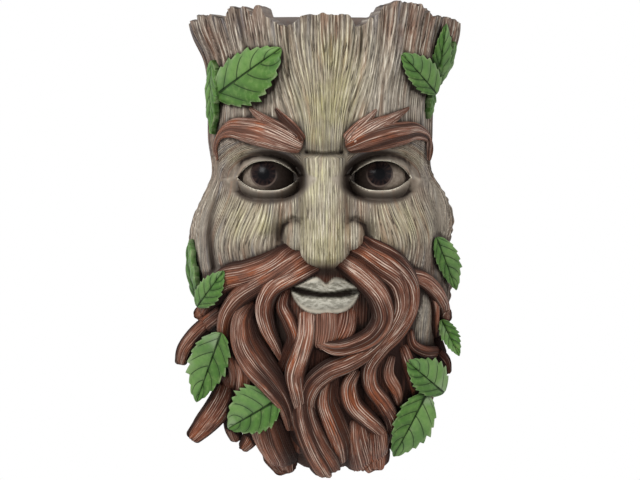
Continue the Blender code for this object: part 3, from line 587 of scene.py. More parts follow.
def grain(x, z, side, outer_share, ahead):
    """How the grain runs: across it, along it, how wide its strands are, and 1 along its seams."""
    ax = np.abs(x)
    fan = 1 + 1.4 * bell(ax, 34) * (1 - rise(325, 445, z)) * rise(320, 326, z)
    sweep = (17 * (1 - rise(232, 294, z)) - 6 * (1 - rise(195, 235, z))) * rise(38, 84, ax) * ahead
    wave = 6 * np.sin(z / 15 + side * 0.03) * rise(0.84, 0.95, outer_share) * (1 - rise(290, 330, z))
    on_face = (z < FACE_TOP) & (ax < FACE_HALF_WIDTH)
    spread = np.where(on_face, x + 0.3 * (side - x), side)
    across = spread * fan - np.sign(x) * sweep + wave
    along = z + 0.15 * ax
    ring = np.hypot(ax - RING_MIDDLE[0], (z - RING_MIDDLE[1]) * 1.35)
    ringed = rise(295, 304, z) * rise(17, 26, ax) * (1 - rise(103, 112, ax))
    ringed = ringed * (1 - rise(328, 336, z - 18 * rise(25, 75, ax)))
    over_lid = ringed > 0.5
    across = np.where(over_lid, ring * 1.3, across)
    along = np.where(over_lid, 60 * np.arctan2(z - RING_MIDDLE[1], ax - RING_MIDDLE[0]), along)
    seam = np.clip(1.2 - 1.8 * np.abs(2 * ringed - 1), 0, 1)
    seam = np.maximum(seam, bell(ax - FACE_HALF_WIDTH, 2.0) * (1 - rise(FACE_TOP, FACE_TOP + 5, z)))
    return across, along, np.where(on_face | over_lid, FACE_STRAND, BARK_STRAND), seam


def painted_shade_places(x, z, edge, upper):
    """Painted shade: round the eyes, under the nose, in the folds and the mouth's corners."""
    ax = np.abs(x)
    inner_corner = mound(ax, z, (29, 306), (8, 13), 2.4)
    crease_over = bell(edge - 8, 3.4) * upper * (1 - 0.8 * rise(5, 32, ax - EYE[0]))
    roll_under = rise(0, 7, edge) * (1 - rise(9, 17, edge)) * (1 - upper) * 0.75
    roll_under = roll_under * (1 - rise(22, 36, np.abs(ax - EYE[0])))
    outer_fold = crease(ax, z, [(100, 289), (109, 280), (114, 264), (115, 244), (111, 212)], 4.5)
    outer_fold = outer_fold * (0.35 + 0.65 * (1 - rise(272, 290, z)))
    return np.maximum.reduce([
        np.maximum.reduce([inner_corner, crease_over, roll_under]) * rise(17, 22, ax),
        0.75 * mound(ax, z, (45, 249), (7, 13)),
        0.6 * crease(ax, z, [(25, 260), (32, 261), (41, 254), (44, 242)], 3.8),
        0.9 * mound(x, z, (2, 209), (20, 6), 3),
        0.75 * crease(x, z, [(-16, 325.5), (0, 324), (16, 325.5)], 3.0),
        0.45 * mound(x, z, (0, 331), (19, 8)),
        0.45 * mound(ax, z, (23, 285), (5, 36), 4),
        0.9 * mound(x, z, (-36, 184), (5, 10)) + 0.9 * mound(x, z, (39, 182), (5, 11)),
        outer_fold * np.where(x < 0, 0.95, 0.4),
    ])


def stump(paint):
    turns, around = stump_turns()
    levels = [np.linspace(STUMP_FOOT, 158, 42), np.linspace(160, STRETCH_FROM, 188)]
    levels = np.concatenate([*levels, np.linspace(STRETCH_FROM + 1.7, GRID_HIGH, 46)])
    turn, level = np.meshgrid(turns, levels)
    side, _ = np.meshgrid(around, levels)
    x, _ = section_point(turn, level)
    top = rim_height(x)
    stretched = STRETCH_FROM + (level - STRETCH_FROM) * (top - STRETCH_FROM) / (GRID_HIGH - STRETCH_FROM)
    z = np.where(level > STRETCH_FROM, stretched, level)
    x, d = section_point(turn, z)
    ax = np.abs(x)
    outer_share = ax / side_reach(x, z)
    ahead = 1 - rise(0.80, 0.97, outer_share)
    d = d + ahead * (face(x, z, d) - d)

    across, along, strand_width, seam = grain(x, z, side, outer_share, ahead)
    edge, upper = eye_edge(x, z)
    reach = 10 - 4 * upper
    near_eye = (1 - rise(reach, reach + 5, edge)) * ahead
    _, lip, lip_edge = lips(x, z)
    lip, lip_edge = lip * ahead, lip_edge * ahead
    strand = combed(across, along, strand_width, 3)
    crest = crests(strand, patchy(across / 8, along / 26, 6))
    coarse = streaks(across, along, 9.5, 90, 9)
    strong = 0.5 + 1.1 * rise(355, 470, z) + 0.7 * rise(0.86, 0.98, outer_share) * (1 - rise(300, 340, z))
    strong = strong * (1 - near_eye) * (1 - lip) * (1 - 0.45 * mound(x, z, (0, 265), (24, 70), 6))
    strong = strong * (1 - seam)
    bark = flutes(turn, z) + strong * (1.3 * (crest - 0.6) + 1.6 * (coarse - 0.5) * rise(340, 430, z))
    split = 5 * crease(x, z, [(39, 470), (38, 440), (37, 418)], 1.6) * rise(405, 440, z)
    split += 3.5 * crease(x, z, [(-37, 455), (-36, 425), (-36, 402)], 1.4)
    bark = bark - split
    torn = rise(430, 470, z) * (4.2 * patchy(side / 2.4, 0.0, 4) + 3.0 * patchy(side / 8, 0.0, 8) - 3.8)
    outside = np.stack([x + bark * np.cos(turn), d + bark * np.sin(turn), z + torn], axis=-1)

    moss = 0.9 * mound(x, z, (0, 372), (24 + 0.22 * (z - 327).clip(0), 75), 2.5) + mounds(ax, z, MOSSY)
    hair = (1 - rise(206 - 0.1 * ax, 222 - 0.1 * ax, z)) * (1 - rise(78, 92, ax)) * (1 - lip)
    hair = np.maximum(hair, (1 - rise(118, 132, z)) * (1 - rise(0.93, 0.99, outer_share)))
    paler = mounds(ax, z, PALER) + 0.8 * mound(x, z, (97, 163), (11, 24), 3)
    side_paler = 0.7 * rise(0.86, 0.94, outer_share) * (1 - rise(285, 320, z)) * rise(190, 215, z)
    traits = {
        "across": across, "along": along, "strand": strand, "moss": moss * (1 - near_eye), "hair": hair,
        "plain": np.maximum.reduce([near_eye, lip, seam]), "lips": lip, "rimmed": lip_edge,
        "stain": rise(385, 450, z) * rise(40, 80, ax) + 0.7 * rise(0.9, 1, outer_share),
        "shade": painted_shade_places(x, z, edge, upper) * ahead, "paler": np.maximum(paler, side_paler),
    }
    return stump_shell(outside, traits, turns, paint)


def stump_shell(outside, traits, turns, paint):
    """The carved front closed by its broken rim, its pocket and a plain back."""
    pocket = pocket_rings(turns)
    rim = outside[-1]
    inner = pocket[0].copy()
    inner[:, 2] = rim[:, 2] - 0.12 * (rim[:, 2] - (RIM - 14))
    rough = patchy(turns * 60, 2.0) * 3 + patchy(turns * 150, 7.0) * 1.6
    inside = []
    for share in (0.10, 0.3, 0.5, 0.7, 0.9):
        row = rim + (inner - rim) * share
        row[:, 2] += (rough + patchy(turns * 90, share * 40) * 2 - 3.2) * math.sin(math.pi * share)
        inside.append(row)
    inside += [inner, *between(inner, pocket[1], 12), *between(pocket[1], pocket[2], 16)]
    inside.append(np.broadcast_to(pocket[2].mean(axis=0), pocket[2].shape))
    foot = outside[0].mean(axis=0) * (1, 0.5, 1)
    front = [np.broadcast_to(foot, outside[0].shape), *outside, *inside]
    is_inside = np.arange(len(front)) > len(outside)

    rows = []
    swell = 1 - np.linspace(1, -1, BACK_STEPS + 1)[1:-1] ** 4
    for row, hidden in zip(front, is_inside):
        back = np.linspace(row[-1], row[0], BACK_STEPS + 1)[1:]
        skin = back[:-1]
        if not hidden:
            low = 1 - rise(*SKIN_CHANGES, row[0, 2])
            skin[:, 1] = SKIN_AT_RIM + (SKIN_BEHIND_KEYHOLE - SKIN_AT_RIM) * low
            skin[:, 0] *= 0.99
        skin[:, 2] += (BACK_RIM - RIM) * swell * rise(400, 455, 0.5 * (row[0, 2] + row[-1, 2]))
        rows.append(np.concatenate([row, back]))
    points = np.stack(rows)
    whole = {}
    for trait, values in traits.items():
        values = np.pad(values, ((1, len(inside)), (0, BACK_STEPS - 1)), mode="edge")
        whole[trait] = np.concatenate([values, values[:, :1]], axis=1)
    whole["broken"] = is_inside[:, None] * 1.0
    whole["moss"] = whole["moss"] * (1 - whole["broken"])
    whole["along"] = np.where(is_inside[:, None], points[..., 2], whole["along"])
    return clay("stump", points, whole, paint)


# Locks and brows

def unit(rows):
    return rows / np.linalg.norm(rows, axis=1)[:, None]


def square_to(ahead, out):
    """Directions of length 1, as near to out as they can be while square to ahead."""
    return unit(out - ahead * np.sum(out * ahead, axis=1)[:, None])


def lock(name, route, paint, number, flat=LOCK_FLAT):
    """One lock swept along its route, with combed strands, a round start and a ragged end."""
    bed, brow = name.startswith("bed"), name.startswith("brow")
    flat = BED_FLAT if bed else flat
    route = np.array(route, float) * (1, 1, 1, 1.0 if bed or brow else LOCK_FULL)
    gaps = np.hypot(*np.diff(route[:, :2], axis=0).T)
    length = np.concatenate([[0], np.cumsum(gaps)])
    body = np.linspace(0, 1, max(24, int(length[-1] / 2.0)))
    cap = 0.5 * route[-1, 3] / length[-1] * 0.8
    body = np.concatenate([body * (1 - cap), 1 - cap * np.cos(np.linspace(0, math.pi / 2, 7)[1:])])
    at = body * length[-1]
    x, z, lift, width = through(np.column_stack([length, route]), at).T
    round_end = np.sqrt(np.clip(1 - share_of(body - (1 - cap), cap) ** 2, 0, 1))
    start_cap = np.sqrt(np.clip(1 - (1 - share_of(at, 0.3 * route[0, 3])) ** 2, 0, 1))
    middle = np.stack([x, carrier(x, z) + lift, z], axis=-1)
    ahead = unit(np.gradient(middle, axis=0))
    nudge = 4.0
    slope_x = (carrier(x - nudge, z) - carrier(x + nudge, z)) / (2 * nudge)
    slope_z = (carrier(x, z - nudge) - carrier(x, z + nudge)) / (2 * nudge)
    out = square_to(ahead, np.stack([slope_x, np.ones_like(x), slope_z], axis=-1))
    side = np.cross(ahead, out)
    widest = route[:, 3].max()
    turns = np.linspace(-math.pi / 2, 1.5 * math.pi, max(24, int(widest * 3.4)) + 1)
    turn, run = np.meshgrid(turns, at)
    wide = (width * round_end * start_cap)[:, None]
    twist = 2.0 * np.sin(run / 60 + number) + run * 0.025
    around = turn * widest / 2 + twist
    count = max(6, round(math.pi * widest / HAIR_STRAND))
    strand = (turn + twist * 2 / widest) / (2 * math.pi) * count
    strand = strand + 1.3 * patchy(around / 11, run / 48, number)
    strand = strand + 0.5 * patchy(around / 5, run / 17, number + 9)
    crest = crests(strand, patchy(around / 7, run / 24, number))
    clumps = streaks(around, run, 8.0, 120, number + 50)
    relief = (0.7 * (crest - 0.6) + 3.2 * (clumps - 0.5)) * share_of(wide, 14)
    radius = wide / 2 + relief * 0.55
    points = (
        middle[:, None]
        + side[:, None] * (radius * np.cos(turn))[..., None]
        + out[:, None] * (flat * radius * np.sin(turn))[..., None]
    )
    ragged = 7 * (patchy(turn * count / 9, 0.0, number + 4) - 0.5) * rise(-24, -2, run - length[-1])
    points = points + ahead[:, None] * (ragged * share_of(wide, 20))[..., None]
    points[:, -1] = points[:, 0]
    points[0], points[-1] = points[0].mean(axis=0), points[-1].mean(axis=0)
    # painted shade at each lock's start, where it comes from under the nose or another lock, and over the
    # whole of the beds under the locks
    near_start = 22 if name.startswith("moustache") else 13
    painted_shade_beneath = 0.85 * (1 - rise(near_start - 14, near_start, run)) * (not brow)
    traits = {
        "across": around + number * 31.0, "along": run + number * 17.0, "strand": strand,
        "clump": clumps, "pale": PALE_LOCKS.get(name, 0.35),
        "edge": np.abs(np.cos(turn)) * (0.62 if brow else 1.0), "painted_shade_beneath": 1.0 if bed else painted_shade_beneath,
        "tone": 1.0 if brow else patchy(number * 1.7, 0.5),
    }
    return clay(name, points, traits, paint)


def locks(paint):
    """Every lock of the beard in three pieces, and the two brows."""
    groups = {}
    for number, (name, route) in enumerate(BEARD.items()):
        middle = np.mean([point[0] for point in route])
        side = "left" if middle < -BEARD_SIDE else "right" if middle > BEARD_SIDE else "middle"
        groups.setdefault(f"beard_{side}", []).append(lock(name, route, paint, number))
    for number, (name, route) in enumerate(BROWS.items(), BROW_NUMBERS):
        side = name.split("_")[1]
        groups.setdefault(f"brow_{side}", []).append(lock(name, route, paint, number, BROW_FLAT))
    return [joined(name, pieces) for name, pieces in groups.items()]


# Eyes

def eyeball(name, side, paint):
    place, radius = to_metres((side * EYE[0], EYE_DEEP, EYE[1])), EYE_BALL * SCALE[0]
    bpy.ops.object.select_all(action="DESELECT")
    bpy.ops.mesh.primitive_uv_sphere_add(segments=72, ring_count=48, radius=radius, location=place)
    made = bpy.context.object
    made.name = made.data.name = name
    bpy.ops.object.transform_apply(location=True, rotation=True, scale=True)
    x, d, z = to_grid(corner_data(made, "co")).T
    behind = (d < EYE_DEEP) * 40.0
    iris = IRIS_LEFT if side < 0 else IRIS_RIGHT
    mark(made, {
        "from_iris": np.hypot(x - iris, z - IRIS_HIGH) + behind,
        "turn_in_iris": np.arctan2(z - IRIS_HIGH, x - iris),
        "inward": (EYE[0] - x * side) / EYE_HALF_WIDTH,
        "high": (z - EYE[1]) / 14,
    })
    bpy.ops.object.shade_smooth()
    made.data.materials.append(paint)
    return made


def lid_rim(name, side, paint):
    """The rolled edge of the lids round one eye."""
    sweep = np.linspace(0, 2 * math.pi, 145)
    half_width = EYE_HALF_WIDTH + LID_RIM_OUT
    u = half_width * np.cos(sweep)
    upper = np.sin(sweep) >= 0
    share, full = lid_bow(u * EYE_HALF_WIDTH / half_width, upper)
    v = np.where(upper, 1, -1) * (1 - share) * (full + LID_RIM_UP)
    d = EYE_DEEP + np.sqrt(np.maximum((EYE_BALL + LID - 1.6) ** 2 - u**2 - v**2, 40.0))
    middle = np.stack([side * (EYE[0] + u), d, EYE[1] + v], axis=-1)
    middle[-1] = middle[0]
    ahead = np.roll(middle, -1, axis=0) - np.roll(middle, 1, axis=0)
    ahead[0] = ahead[-1] = middle[1] - middle[-2]
    ahead = unit(ahead)
    out = square_to(ahead, middle - np.array([side * EYE[0], EYE_DEEP, EYE[1]]))
    across = np.cross(ahead, out)
    thick = (0.8 + 0.25 * np.abs(np.sin(sweep)))[:, None, None]
    round_turn = np.linspace(0, 2 * math.pi, 17)
    points = middle[:, None] + thick * (
        across[:, None] * np.cos(round_turn)[None, :, None] + out[:, None] * np.sin(round_turn)[None, :, None]
    )
    points[:, -1], points[-1] = points[:, 0], points[0]
    bare = ("across", "along", "strand", "moss", "hair", "lips", "stain", "broken", "shade", "paler")
    return clay(name, points, {**dict.fromkeys(bare, 0.0), "plain": 1.0, "rimmed": 1.0}, paint)


# Leaves

def leaf(name, barks, base, tip, width, lean, turned, paint, number):
    """One toothed and veined leaf, laid on the stump from the front or turned to one side."""
    slide = np.array([math.sin(turned), -math.cos(turned), 0.0])
    start, end = (to_metres((place[0], place[1] if turned else 0, place[-1])) for place in (base, tip))
    start, end = (place - slide * place.dot(slide) for place in (start, end))
    length = np.linalg.norm(end - start)
    across = np.cross((end - start) / length, slide)

    def outline(share):
        return np.maximum(np.sin(math.pi * share**0.78) ** 0.78, 0.0)

    under = []
    for share in np.linspace(0, 1, 10)[1:-1]:
        for place in (-0.8, 0.0, 0.8):
            side = place * width * SCALE[0] / 2 * outline(share)
            point = start + share * (end - start) + side * across
            hits = [tree.ray_cast(Vector(point + slide), Vector(-slide))[0] for tree in barks]
            hits = [(np.array(hit) - point).dot(slide) for hit in hits if hit is not None]
            if hits:
                under.append((share, side, max(hits)))
    under = np.array(under)
    form = np.stack([np.ones(len(under)), under[:, 0], under[:, 0] * (1 - under[:, 0]), under[:, 1]], axis=1)
    limits = np.array([1.0, LEAF_RAKE * length, LEAF_BEND * length, LEAF_TILT])
    _, rake, bend, tilt = lie = np.clip(np.linalg.lstsq(form, under[:, 2], rcond=None)[0], -limits, limits)
    level = lie[0] + np.sort(under[:, 2] - form @ lie)[-1 - len(under) // 9]

    share, place = np.meshgrid(np.linspace(0, 1, 91), np.linspace(-1, 1, 31), indexing="ij")
    broad = width * SCALE[0] / 2 * outline(share)
    skew = 0.9 * (patchy(share * 3, np.sign(place) * 2, number) - 0.5)
    tooth = share * LEAF_TEETH + np.where(place < 0, 0.0, 0.4) + skew
    jag = 0.4 + 0.9 * patchy(np.floor(tooth) * 1.7, np.sign(place), number + 3)
    tooth = tooth - np.floor(tooth)
    saw = np.where(tooth < 0.80, tooth / 0.80, (1 - tooth) / 0.20) * jag
    wider = 1 + lean * place / np.maximum(np.abs(place), 0.05)
    side = place * broad * wider * (1 + (0.19 * saw - 0.09) * np.abs(place) ** 6)
    forward = share + 0.024 * saw * np.abs(place) ** 5 * np.sin(math.pi * share)
    vein = share * LEAF_VEINS - 1.3 * np.abs(place) ** 1.4 + 0.25 + 0.35 * (place > 0)
    from_vein = np.abs(vein - np.rint(vein))
    puff = 0.0011 * np.sqrt(share_of(from_vein, 0.5)) * (1 - np.abs(place) ** 3)
    puff = puff * np.sin(math.pi * share) ** 0.5
    midrib = -0.0009 * bell(place * broad, 0.0008)
    fold = 0.26 * np.abs(side) - 0.16 * np.abs(side) * np.abs(place) ** 2
    rest = level + rake * share + bend * share * (1 - share) + 0.04 * length * np.sin(math.pi * share)
    ripple = 0.0005 * np.sin(share * 21 + place * 2 + number) * np.abs(place) ** 2
    rise_up = rest + tilt * side + fold + puff + midrib + ripple + LEAF_THICK - LEAF_SINK
    spine = start + forward[..., None] * (end - start)
    upper = spine + side[..., None] * across + rise_up[..., None] * slide
    deep = LEAF_THICK + LEAF_KEEL * outline(share) * (1 - np.abs(place)) ** 1.5
    lower = spine + (0.97 * side)[..., None] * across + (rise_up - deep)[..., None] * slide
    points = to_grid(np.concatenate([upper, lower[:, ::-1], upper[:, :1]], axis=1))
    points[0], points[-1] = points[0].mean(axis=0), points[-1].mean(axis=0)

    def ring(top, below):
        top = np.broadcast_to(top, share.shape)
        below = np.broadcast_to(below, share.shape)
        return np.concatenate([top, below[:, ::-1], top[:, :1]], axis=1)

    traits = {
        "blade": ring(share, share), "place": ring(place, place), "under": ring(0.0, 1.0),
        "tone": patchy(number * 2.3, 8.5), "vein_run": ring(vein, vein),
        # half: 1 on the half of the blade that gets painted shade, 0 on the half that gets painted light and
        # glints
        "half": ring(0.5 + 0.5 * np.tanh(place * 9) * math.copysign(1, math.sin(number * 2.1 + 1.2)), 0.5),
    }
    made = clay(name, points, traits, paint)
    bpy.ops.object.shade_smooth_by_angle(angle=math.radians(50))
    return made


def leaves(barks, paint):
    every = [(name, leaf_at, 0) for name, leaf_at in FRONT_LEAVES.items()]
    for name, leaf_at in SIDE_LEAVES.items():
        every.append((name, leaf_at, -SIDE_LEAF_TURN if name.endswith("left") else SIDE_LEAF_TURN))
    return [leaf(name, barks, *at, turned, paint, number) for number, (name, at, turned) in enumerate(every)]


# Flat back with the keyhole

def keyhole_cutter(name, radius, low, high, outer, inner):
    """A round-ended slot between two heights, from one depth to another."""
    bpy.ops.object.select_all(action="DESELECT")
    bpy.ops.mesh.primitive_cylinder_add(
        vertices=48, radius=radius, depth=outer - inner, location=(0, (outer + inner) / 2, low),
        rotation=(math.pi / 2, 0, 0),
    )
    made = bpy.context.object
    made.name = name
    bpy.ops.object.transform_apply(location=True, rotation=True, scale=True)
    if high > low:
        for parts in (made.data.polygons, made.data.edges):
            parts.foreach_set("select", [False] * len(parts))
        for corner in made.data.vertices:
            corner.select = corner.co.z > low + 1e-5
        bpy.ops.object.mode_set(mode="EDIT")
        bpy.ops.transform.translate(value=(0, 0, high - low))
        bpy.ops.object.mode_set(mode="OBJECT")
    return made


def back_plate(paint):
    """The flat back, a thin plate let into the closed skin, with the keyhole cut through its face."""
    levels = np.linspace(STUMP_FOOT, RIM - 1, 90)
    right = profile_at(RIGHT_SIDE, levels) * 0.995
    left = -profile_at(LEFT_SIDE, levels) * 0.995
    along_top = np.linspace(right[-1], left[-1], 30)[1:-1]
    top = RIM - 1 + (BACK_RIM - RIM) * (1 - np.linspace(-1, 1, 30)[1:-1] ** 4)
    x = np.concatenate([right, along_top, left[::-1]])
    outline = np.stack([x, 0 * x, np.concatenate([levels, top, levels[::-1]])], axis=-1)
    bpy.ops.object.select_all(action="DESELECT")
    bpy.ops.mesh.primitive_circle_add(vertices=len(outline), fill_type="NGON")
    plate = bpy.context.object
    plate.name = plate.data.name = "back"
    plate.data.vertices.foreach_set("co", to_metres(outline).ravel())
    bpy.ops.object.mode_set(mode="EDIT")
    bpy.ops.mesh.select_all(action="SELECT")
    bpy.ops.mesh.extrude_region_move(TRANSFORM_OT_translate={"value": (0, -PLATE_THICK, 0)})
    bpy.ops.mesh.select_all(action="SELECT")
    bpy.ops.mesh.normals_make_consistent(inside=False)
    bpy.ops.object.mode_set(mode="OBJECT")
    proud, lip, floor = 0.002, -KEYHOLE_LIP, -KEYHOLE_DEEP
    cutters = [
        keyhole_cutter("entry", KEYHOLE_HEAD, KEYHOLE_ENTRY, KEYHOLE_ENTRY, proud, floor),
        keyhole_cutter("shank", KEYHOLE_SHANK, KEYHOLE_ENTRY, KEYHOLE_SEAT, proud, 0.9 * floor),
        keyhole_cutter("room", 0.98 * KEYHOLE_HEAD, KEYHOLE_ENTRY, KEYHOLE_SEAT, lip, 0.98 * floor),
    ]
    pick([plate])
    for cutter in cutters:
        cut = plate.modifiers.new(cutter.name, "BOOLEAN")
        cut.operation, cut.solver, cut.object = "DIFFERENCE", "EXACT", cutter
        bpy.ops.object.modifier_apply(modifier=cut.name)
        bpy.data.objects.remove(cutter)
    plate.data.materials.append(paint)
    return plate


# Where each surface lies low among its neighbours, for painted shade in its hollows, or stands proud, for the
# dry-brush

def blurred(field, reach):
    span = int(3 * reach)
    weights = np.exp(-((np.arange(-span, span + 1) / reach) ** 2) / 2)
    weights /= weights.sum()
    padded = np.pad(field, span, mode="edge")
    rows = np.apply_along_axis(np.convolve, 0, padded, weights, "valid")
    return np.apply_along_axis(np.convolve, 1, rows, weights, "valid")


def lay_painted_shade(pieces):
    low_x, low_z, across, tall = -165, -15, 331, 520
    field = np.zeros((tall, across))

    def cell(points):
        i = np.clip(np.rint(points[:, 0] - low_x).astype(int), 0, across - 1)
        j = np.clip(np.rint(points[:, 2] - low_z).astype(int), 0, tall - 1)
        return j, i

    placed = {piece: to_grid(corner_data(piece, "co")) for piece in pieces}
    for points in placed.values():
        np.maximum.at(field, cell(points), points[:, 1])
    for _ in range(3):
        around = np.maximum.reduce([np.roll(field, shift, axis) for shift in (-1, 1) for axis in (0, 1)])
        field = np.where(field <= 0, around, field)
    near, wide, broad = blurred(field, 1.8), blurred(field, 5.0), blurred(field, 12.0)
    for piece, points in placed.items():
        facing = np.clip(-corner_data(piece, "normal")[:, 1] * 1.3, 0, 1)
        here, depth = cell(points), points[:, 1]
        # painted shade: the lower a place lies below its neighbours, the darker, as where shade falls in
        # hollows and round the leaves
        deep = 0.5 * share_of(near[here] - depth, 2.2) + 0.6 * share_of(wide[here] - depth - 0.5, 6)
        deep = deep + 0.35 * share_of(broad[here] - depth - 3, 12)
        deep = np.clip(deep, 0, 1) * (0.35 + 0.65 * facing)
        crest = share_of(depth - near[here], 1.2) * facing
        crest = np.maximum(crest, share_of(depth - wide[here] - 1, 5) * facing * 0.8)
        mark(piece, {"deep": deep, "crest": crest})


# Paint

class Number:
    """A number that varies over a surface; arithmetic on it adds Math nodes."""

    def __init__(self, paint, socket):
        self.paint, self.socket = paint, socket

    def worked(self, operation, *values):
        made = self.paint.node("ShaderNodeMath", {"operation": operation}, dict(enumerate(values)))
        return Number(self.paint, made.outputs[0])

    def __add__(self, other):
        return self.worked("ADD", self, other)

    def __mul__(self, other):
        return self.worked("MULTIPLY", self, other)

    def __sub__(self, other):
        return self.worked("SUBTRACT", self, other)

    def __rsub__(self, other):
        return self.worked("SUBTRACT", other, self)

    __radd__, __rmul__ = __add__, __mul__

    def larger(self, other):
        return self.worked("MAXIMUM", self, other)

    def smaller(self, other):
        return self.worked("MINIMUM", self, other)

    def size(self):
        return self.worked("ABSOLUTE", self)

    def off_whole(self):
        """How far the number is from the nearest whole one."""
        return (self - self.worked("ROUND", self)).size()

    def wave(self):
        """1 where the number is whole and -1 halfway between."""
        return self.worked("COSINE", self * math.tau)

    def step(self, low, high):
        """0 up to low and 1 from high on, smooth between; high may be under low."""
        settings = {"interpolation_type": "SMOOTHSTEP"}
        ends = (low, high, 0.0, 1.0) if low < high else (high, low, 1.0, 0.0)
        sockets = dict(zip(("From Min", "From Max", "To Min", "To Max"), ends), Value=self)
        return Number(self.paint, self.paint.node("ShaderNodeMapRange", settings, sockets).outputs[0])


class Paint:
    """One painted finish, or with the world in place of a material, the light of the studio's walls."""

    def __init__(self, name, world=None):
        self.material = world or bpy.data.materials.new(name)
        self.material.use_nodes = True
        self.tree = self.material.node_tree
        self.shader = self.tree.nodes["Background" if world else "Principled BSDF"]

    def node(self, kind, settings=None, sockets=None):
        made = self.tree.nodes.new(kind)
        for key, value in (settings or {}).items():
            setattr(made, key, value)
        self.plug(made, sockets or {})
        return made

    def plug(self, made, sockets):
        """Link or set a node's sockets; a tuple is a colour."""
        for key, value in sockets.items():
            value = getattr(value, "socket", value)
            if isinstance(value, bpy.types.NodeSocket):
                self.tree.links.new(value, made.inputs[key])
            else:
                made.inputs[key].default_value = (*value, 1) if isinstance(value, tuple) else value

    def trait(self, name):
        return Number(self, self.node("ShaderNodeAttribute", {"attribute_name": name}).outputs["Fac"])

    def place(self):
        return self.node("ShaderNodeTexCoord").outputs["Object"]

    def vector(self, x, y, z=0.0):
        return self.node("ShaderNodeCombineXYZ", None, {0: x, 1: y, 2: z}).outputs[0]

    def noise(self, where, scale, detail=2.0, roughness=0.5):
        sockets = {"Vector": where, "Scale": scale, "Detail": detail, "Roughness": roughness}
        return Number(self, self.node("ShaderNodeTexNoise", None, sockets).outputs["Fac"])

    def drawn_out(self, across, along, start=0.0, detail=3.0, roughness=0.6):
        """Noise on a grain, given by numbers across and along it."""
        return self.noise(self.vector(across, along, start), 1.0, detail, roughness)

    def mix(self, share, first, second):
        made = self.node("ShaderNodeMix", {"data_type": "RGBA"}, {0: share, 6: first, 7: second})
        return made.outputs[2]

    def coats(self, colour, *layers):
        """A colour with coats of another over it, each given by its share and its colour."""
        for share, over in layers:
            colour = self.mix(share, colour, over)
        return colour

    def done(self, colour, roughness, specular, height=None, depth=BUMP_DEPTH):
        self.plug(self.shader, {"Base Color": colour, "Roughness": roughness, "Specular IOR Level": specular})
        if height is not None:
            bump = self.node("ShaderNodeBump", None, {"Strength": 1.0, "Distance": depth, "Height": height})
            self.plug(self.shader, {"Normal": bump.outputs[0]})
        return self.material


def bark_paint():
    p = Paint("painted_bark")
    across, along, wave = p.trait("across"), p.trait("along"), p.trait("strand").wave()
    deep, crest, plain, broken = p.trait("deep"), p.trait("crest"), p.trait("plain"), p.trait("broken")
    moss, hair, paler = p.trait("moss"), p.trait("hair"), p.trait("paler")
    carved = 1 - plain
    breaks = p.drawn_out(across * 0.30, along * 0.022)
    gaps = p.drawn_out(across * 0.26, along * 0.020, 7.0)
    hairlines = p.drawn_out(across * 0.8, along * 0.050, 5.0, 3.0, 0.65)
    ribbons = p.drawn_out(across * 0.15, along * 0.010, 3.0, 2.0)
    cracks = p.drawn_out(across * 0.16, along * 0.34, 1.0, 4.0, 0.65)
    patches = p.noise(p.place(), 30.0, 3.0)
    mottle = p.noise(p.place(), 260.0, 3.0, 0.65)

    mossy = p.mix(patches.step(0.42, 0.60), (0.390, 0.350, 0.235), (0.345, 0.315, 0.130))
    ground = p.coats(
        p.mix(patches.step(0.38, 0.62), (0.205, 0.155, 0.122), (0.290, 0.245, 0.208)),
        (ribbons.step(0.52, 0.66) * 0.75, (0.250, 0.130, 0.085)),
        (ribbons.step(0.46, 0.34) * 0.75, (0.165, 0.155, 0.165)),
        (p.trait("stain") * patches.step(0.42, 0.60) * 0.7, (0.185, 0.088, 0.052)),
        (moss * (0.55 + gaps.step(0.4, 0.6) * 0.4), mossy),
        # a paler coat, painted light on the nose's top and wings, and paler on a few other places
        (paler * 0.45, (0.400, 0.365, 0.280)),
        (plain * (0.3 + mottle * 0.5), (0.185, 0.155, 0.115)),
        (hair * (1 - broken), (0.090, 0.030, 0.017)),
    )
    cream = p.mix(moss * breaks.step(0.45, 0.62) * 0.8, (0.720, 0.650, 0.540), (0.640, 0.610, 0.300))
    line = wave.step(0.45, 0.98) * breaks.step(0.44, 0.60)
    lit = line * 0.85 + hairlines.step(0.53, 0.63) * (0.35 + paler * 0.4)
    lit = lit * carved * (0.55 + crest * 0.45) + crest * plain * 0.2
    lit = lit * (1 - hair * 0.8) * (1 - deep * 0.8)
    # lips: dark in their cracks, and paler where they stand proud as a painted highlight
    lip = p.mix(cracks.step(0.42, 0.60) * 0.55 + crest * 0.5, (0.070, 0.062, 0.042), (0.430, 0.410, 0.345))
    groove = wave.step(-0.35, -0.95) * gaps.step(0.42, 0.58) * (0.75 - paler * 0.35)
    groove = groove.larger(hairlines.step(0.46, 0.37) * (0.90 - paler * 0.3)) * carved
    # the dark of the grain's grooves, and painted shade where the surface lies low and round the eyes, nose,
    # folds and mouth
    grooves_and_painted_shade = (deep * 1.1).larger(groove).larger(p.trait("shade")) * (1 - broken * 0.6)
    colour = p.coats(
        p.mix(lit.smaller(0.95), ground, cream),
        (p.trait("lips"), lip),
        ((p.trait("rimmed") * (0.6 + mottle)).smaller(1.0), (0.600, 0.555, 0.455)),
        # near-black coat: the grooves' dark and the painted shade
        (grooves_and_painted_shade.smaller(0.96), (0.030, 0.020, 0.016)),
        (broken * (0.55 + mottle.step(0.35, 0.65) * 0.35), (0.135, 0.118, 0.108)),
    )
    height = (wave * 0.25 + hairlines * 0.9) * carved + mottle * 0.25
    return p.done(colour, 0.72 - lit * 0.12 + grooves_and_painted_shade * 0.08, 0.15, height)


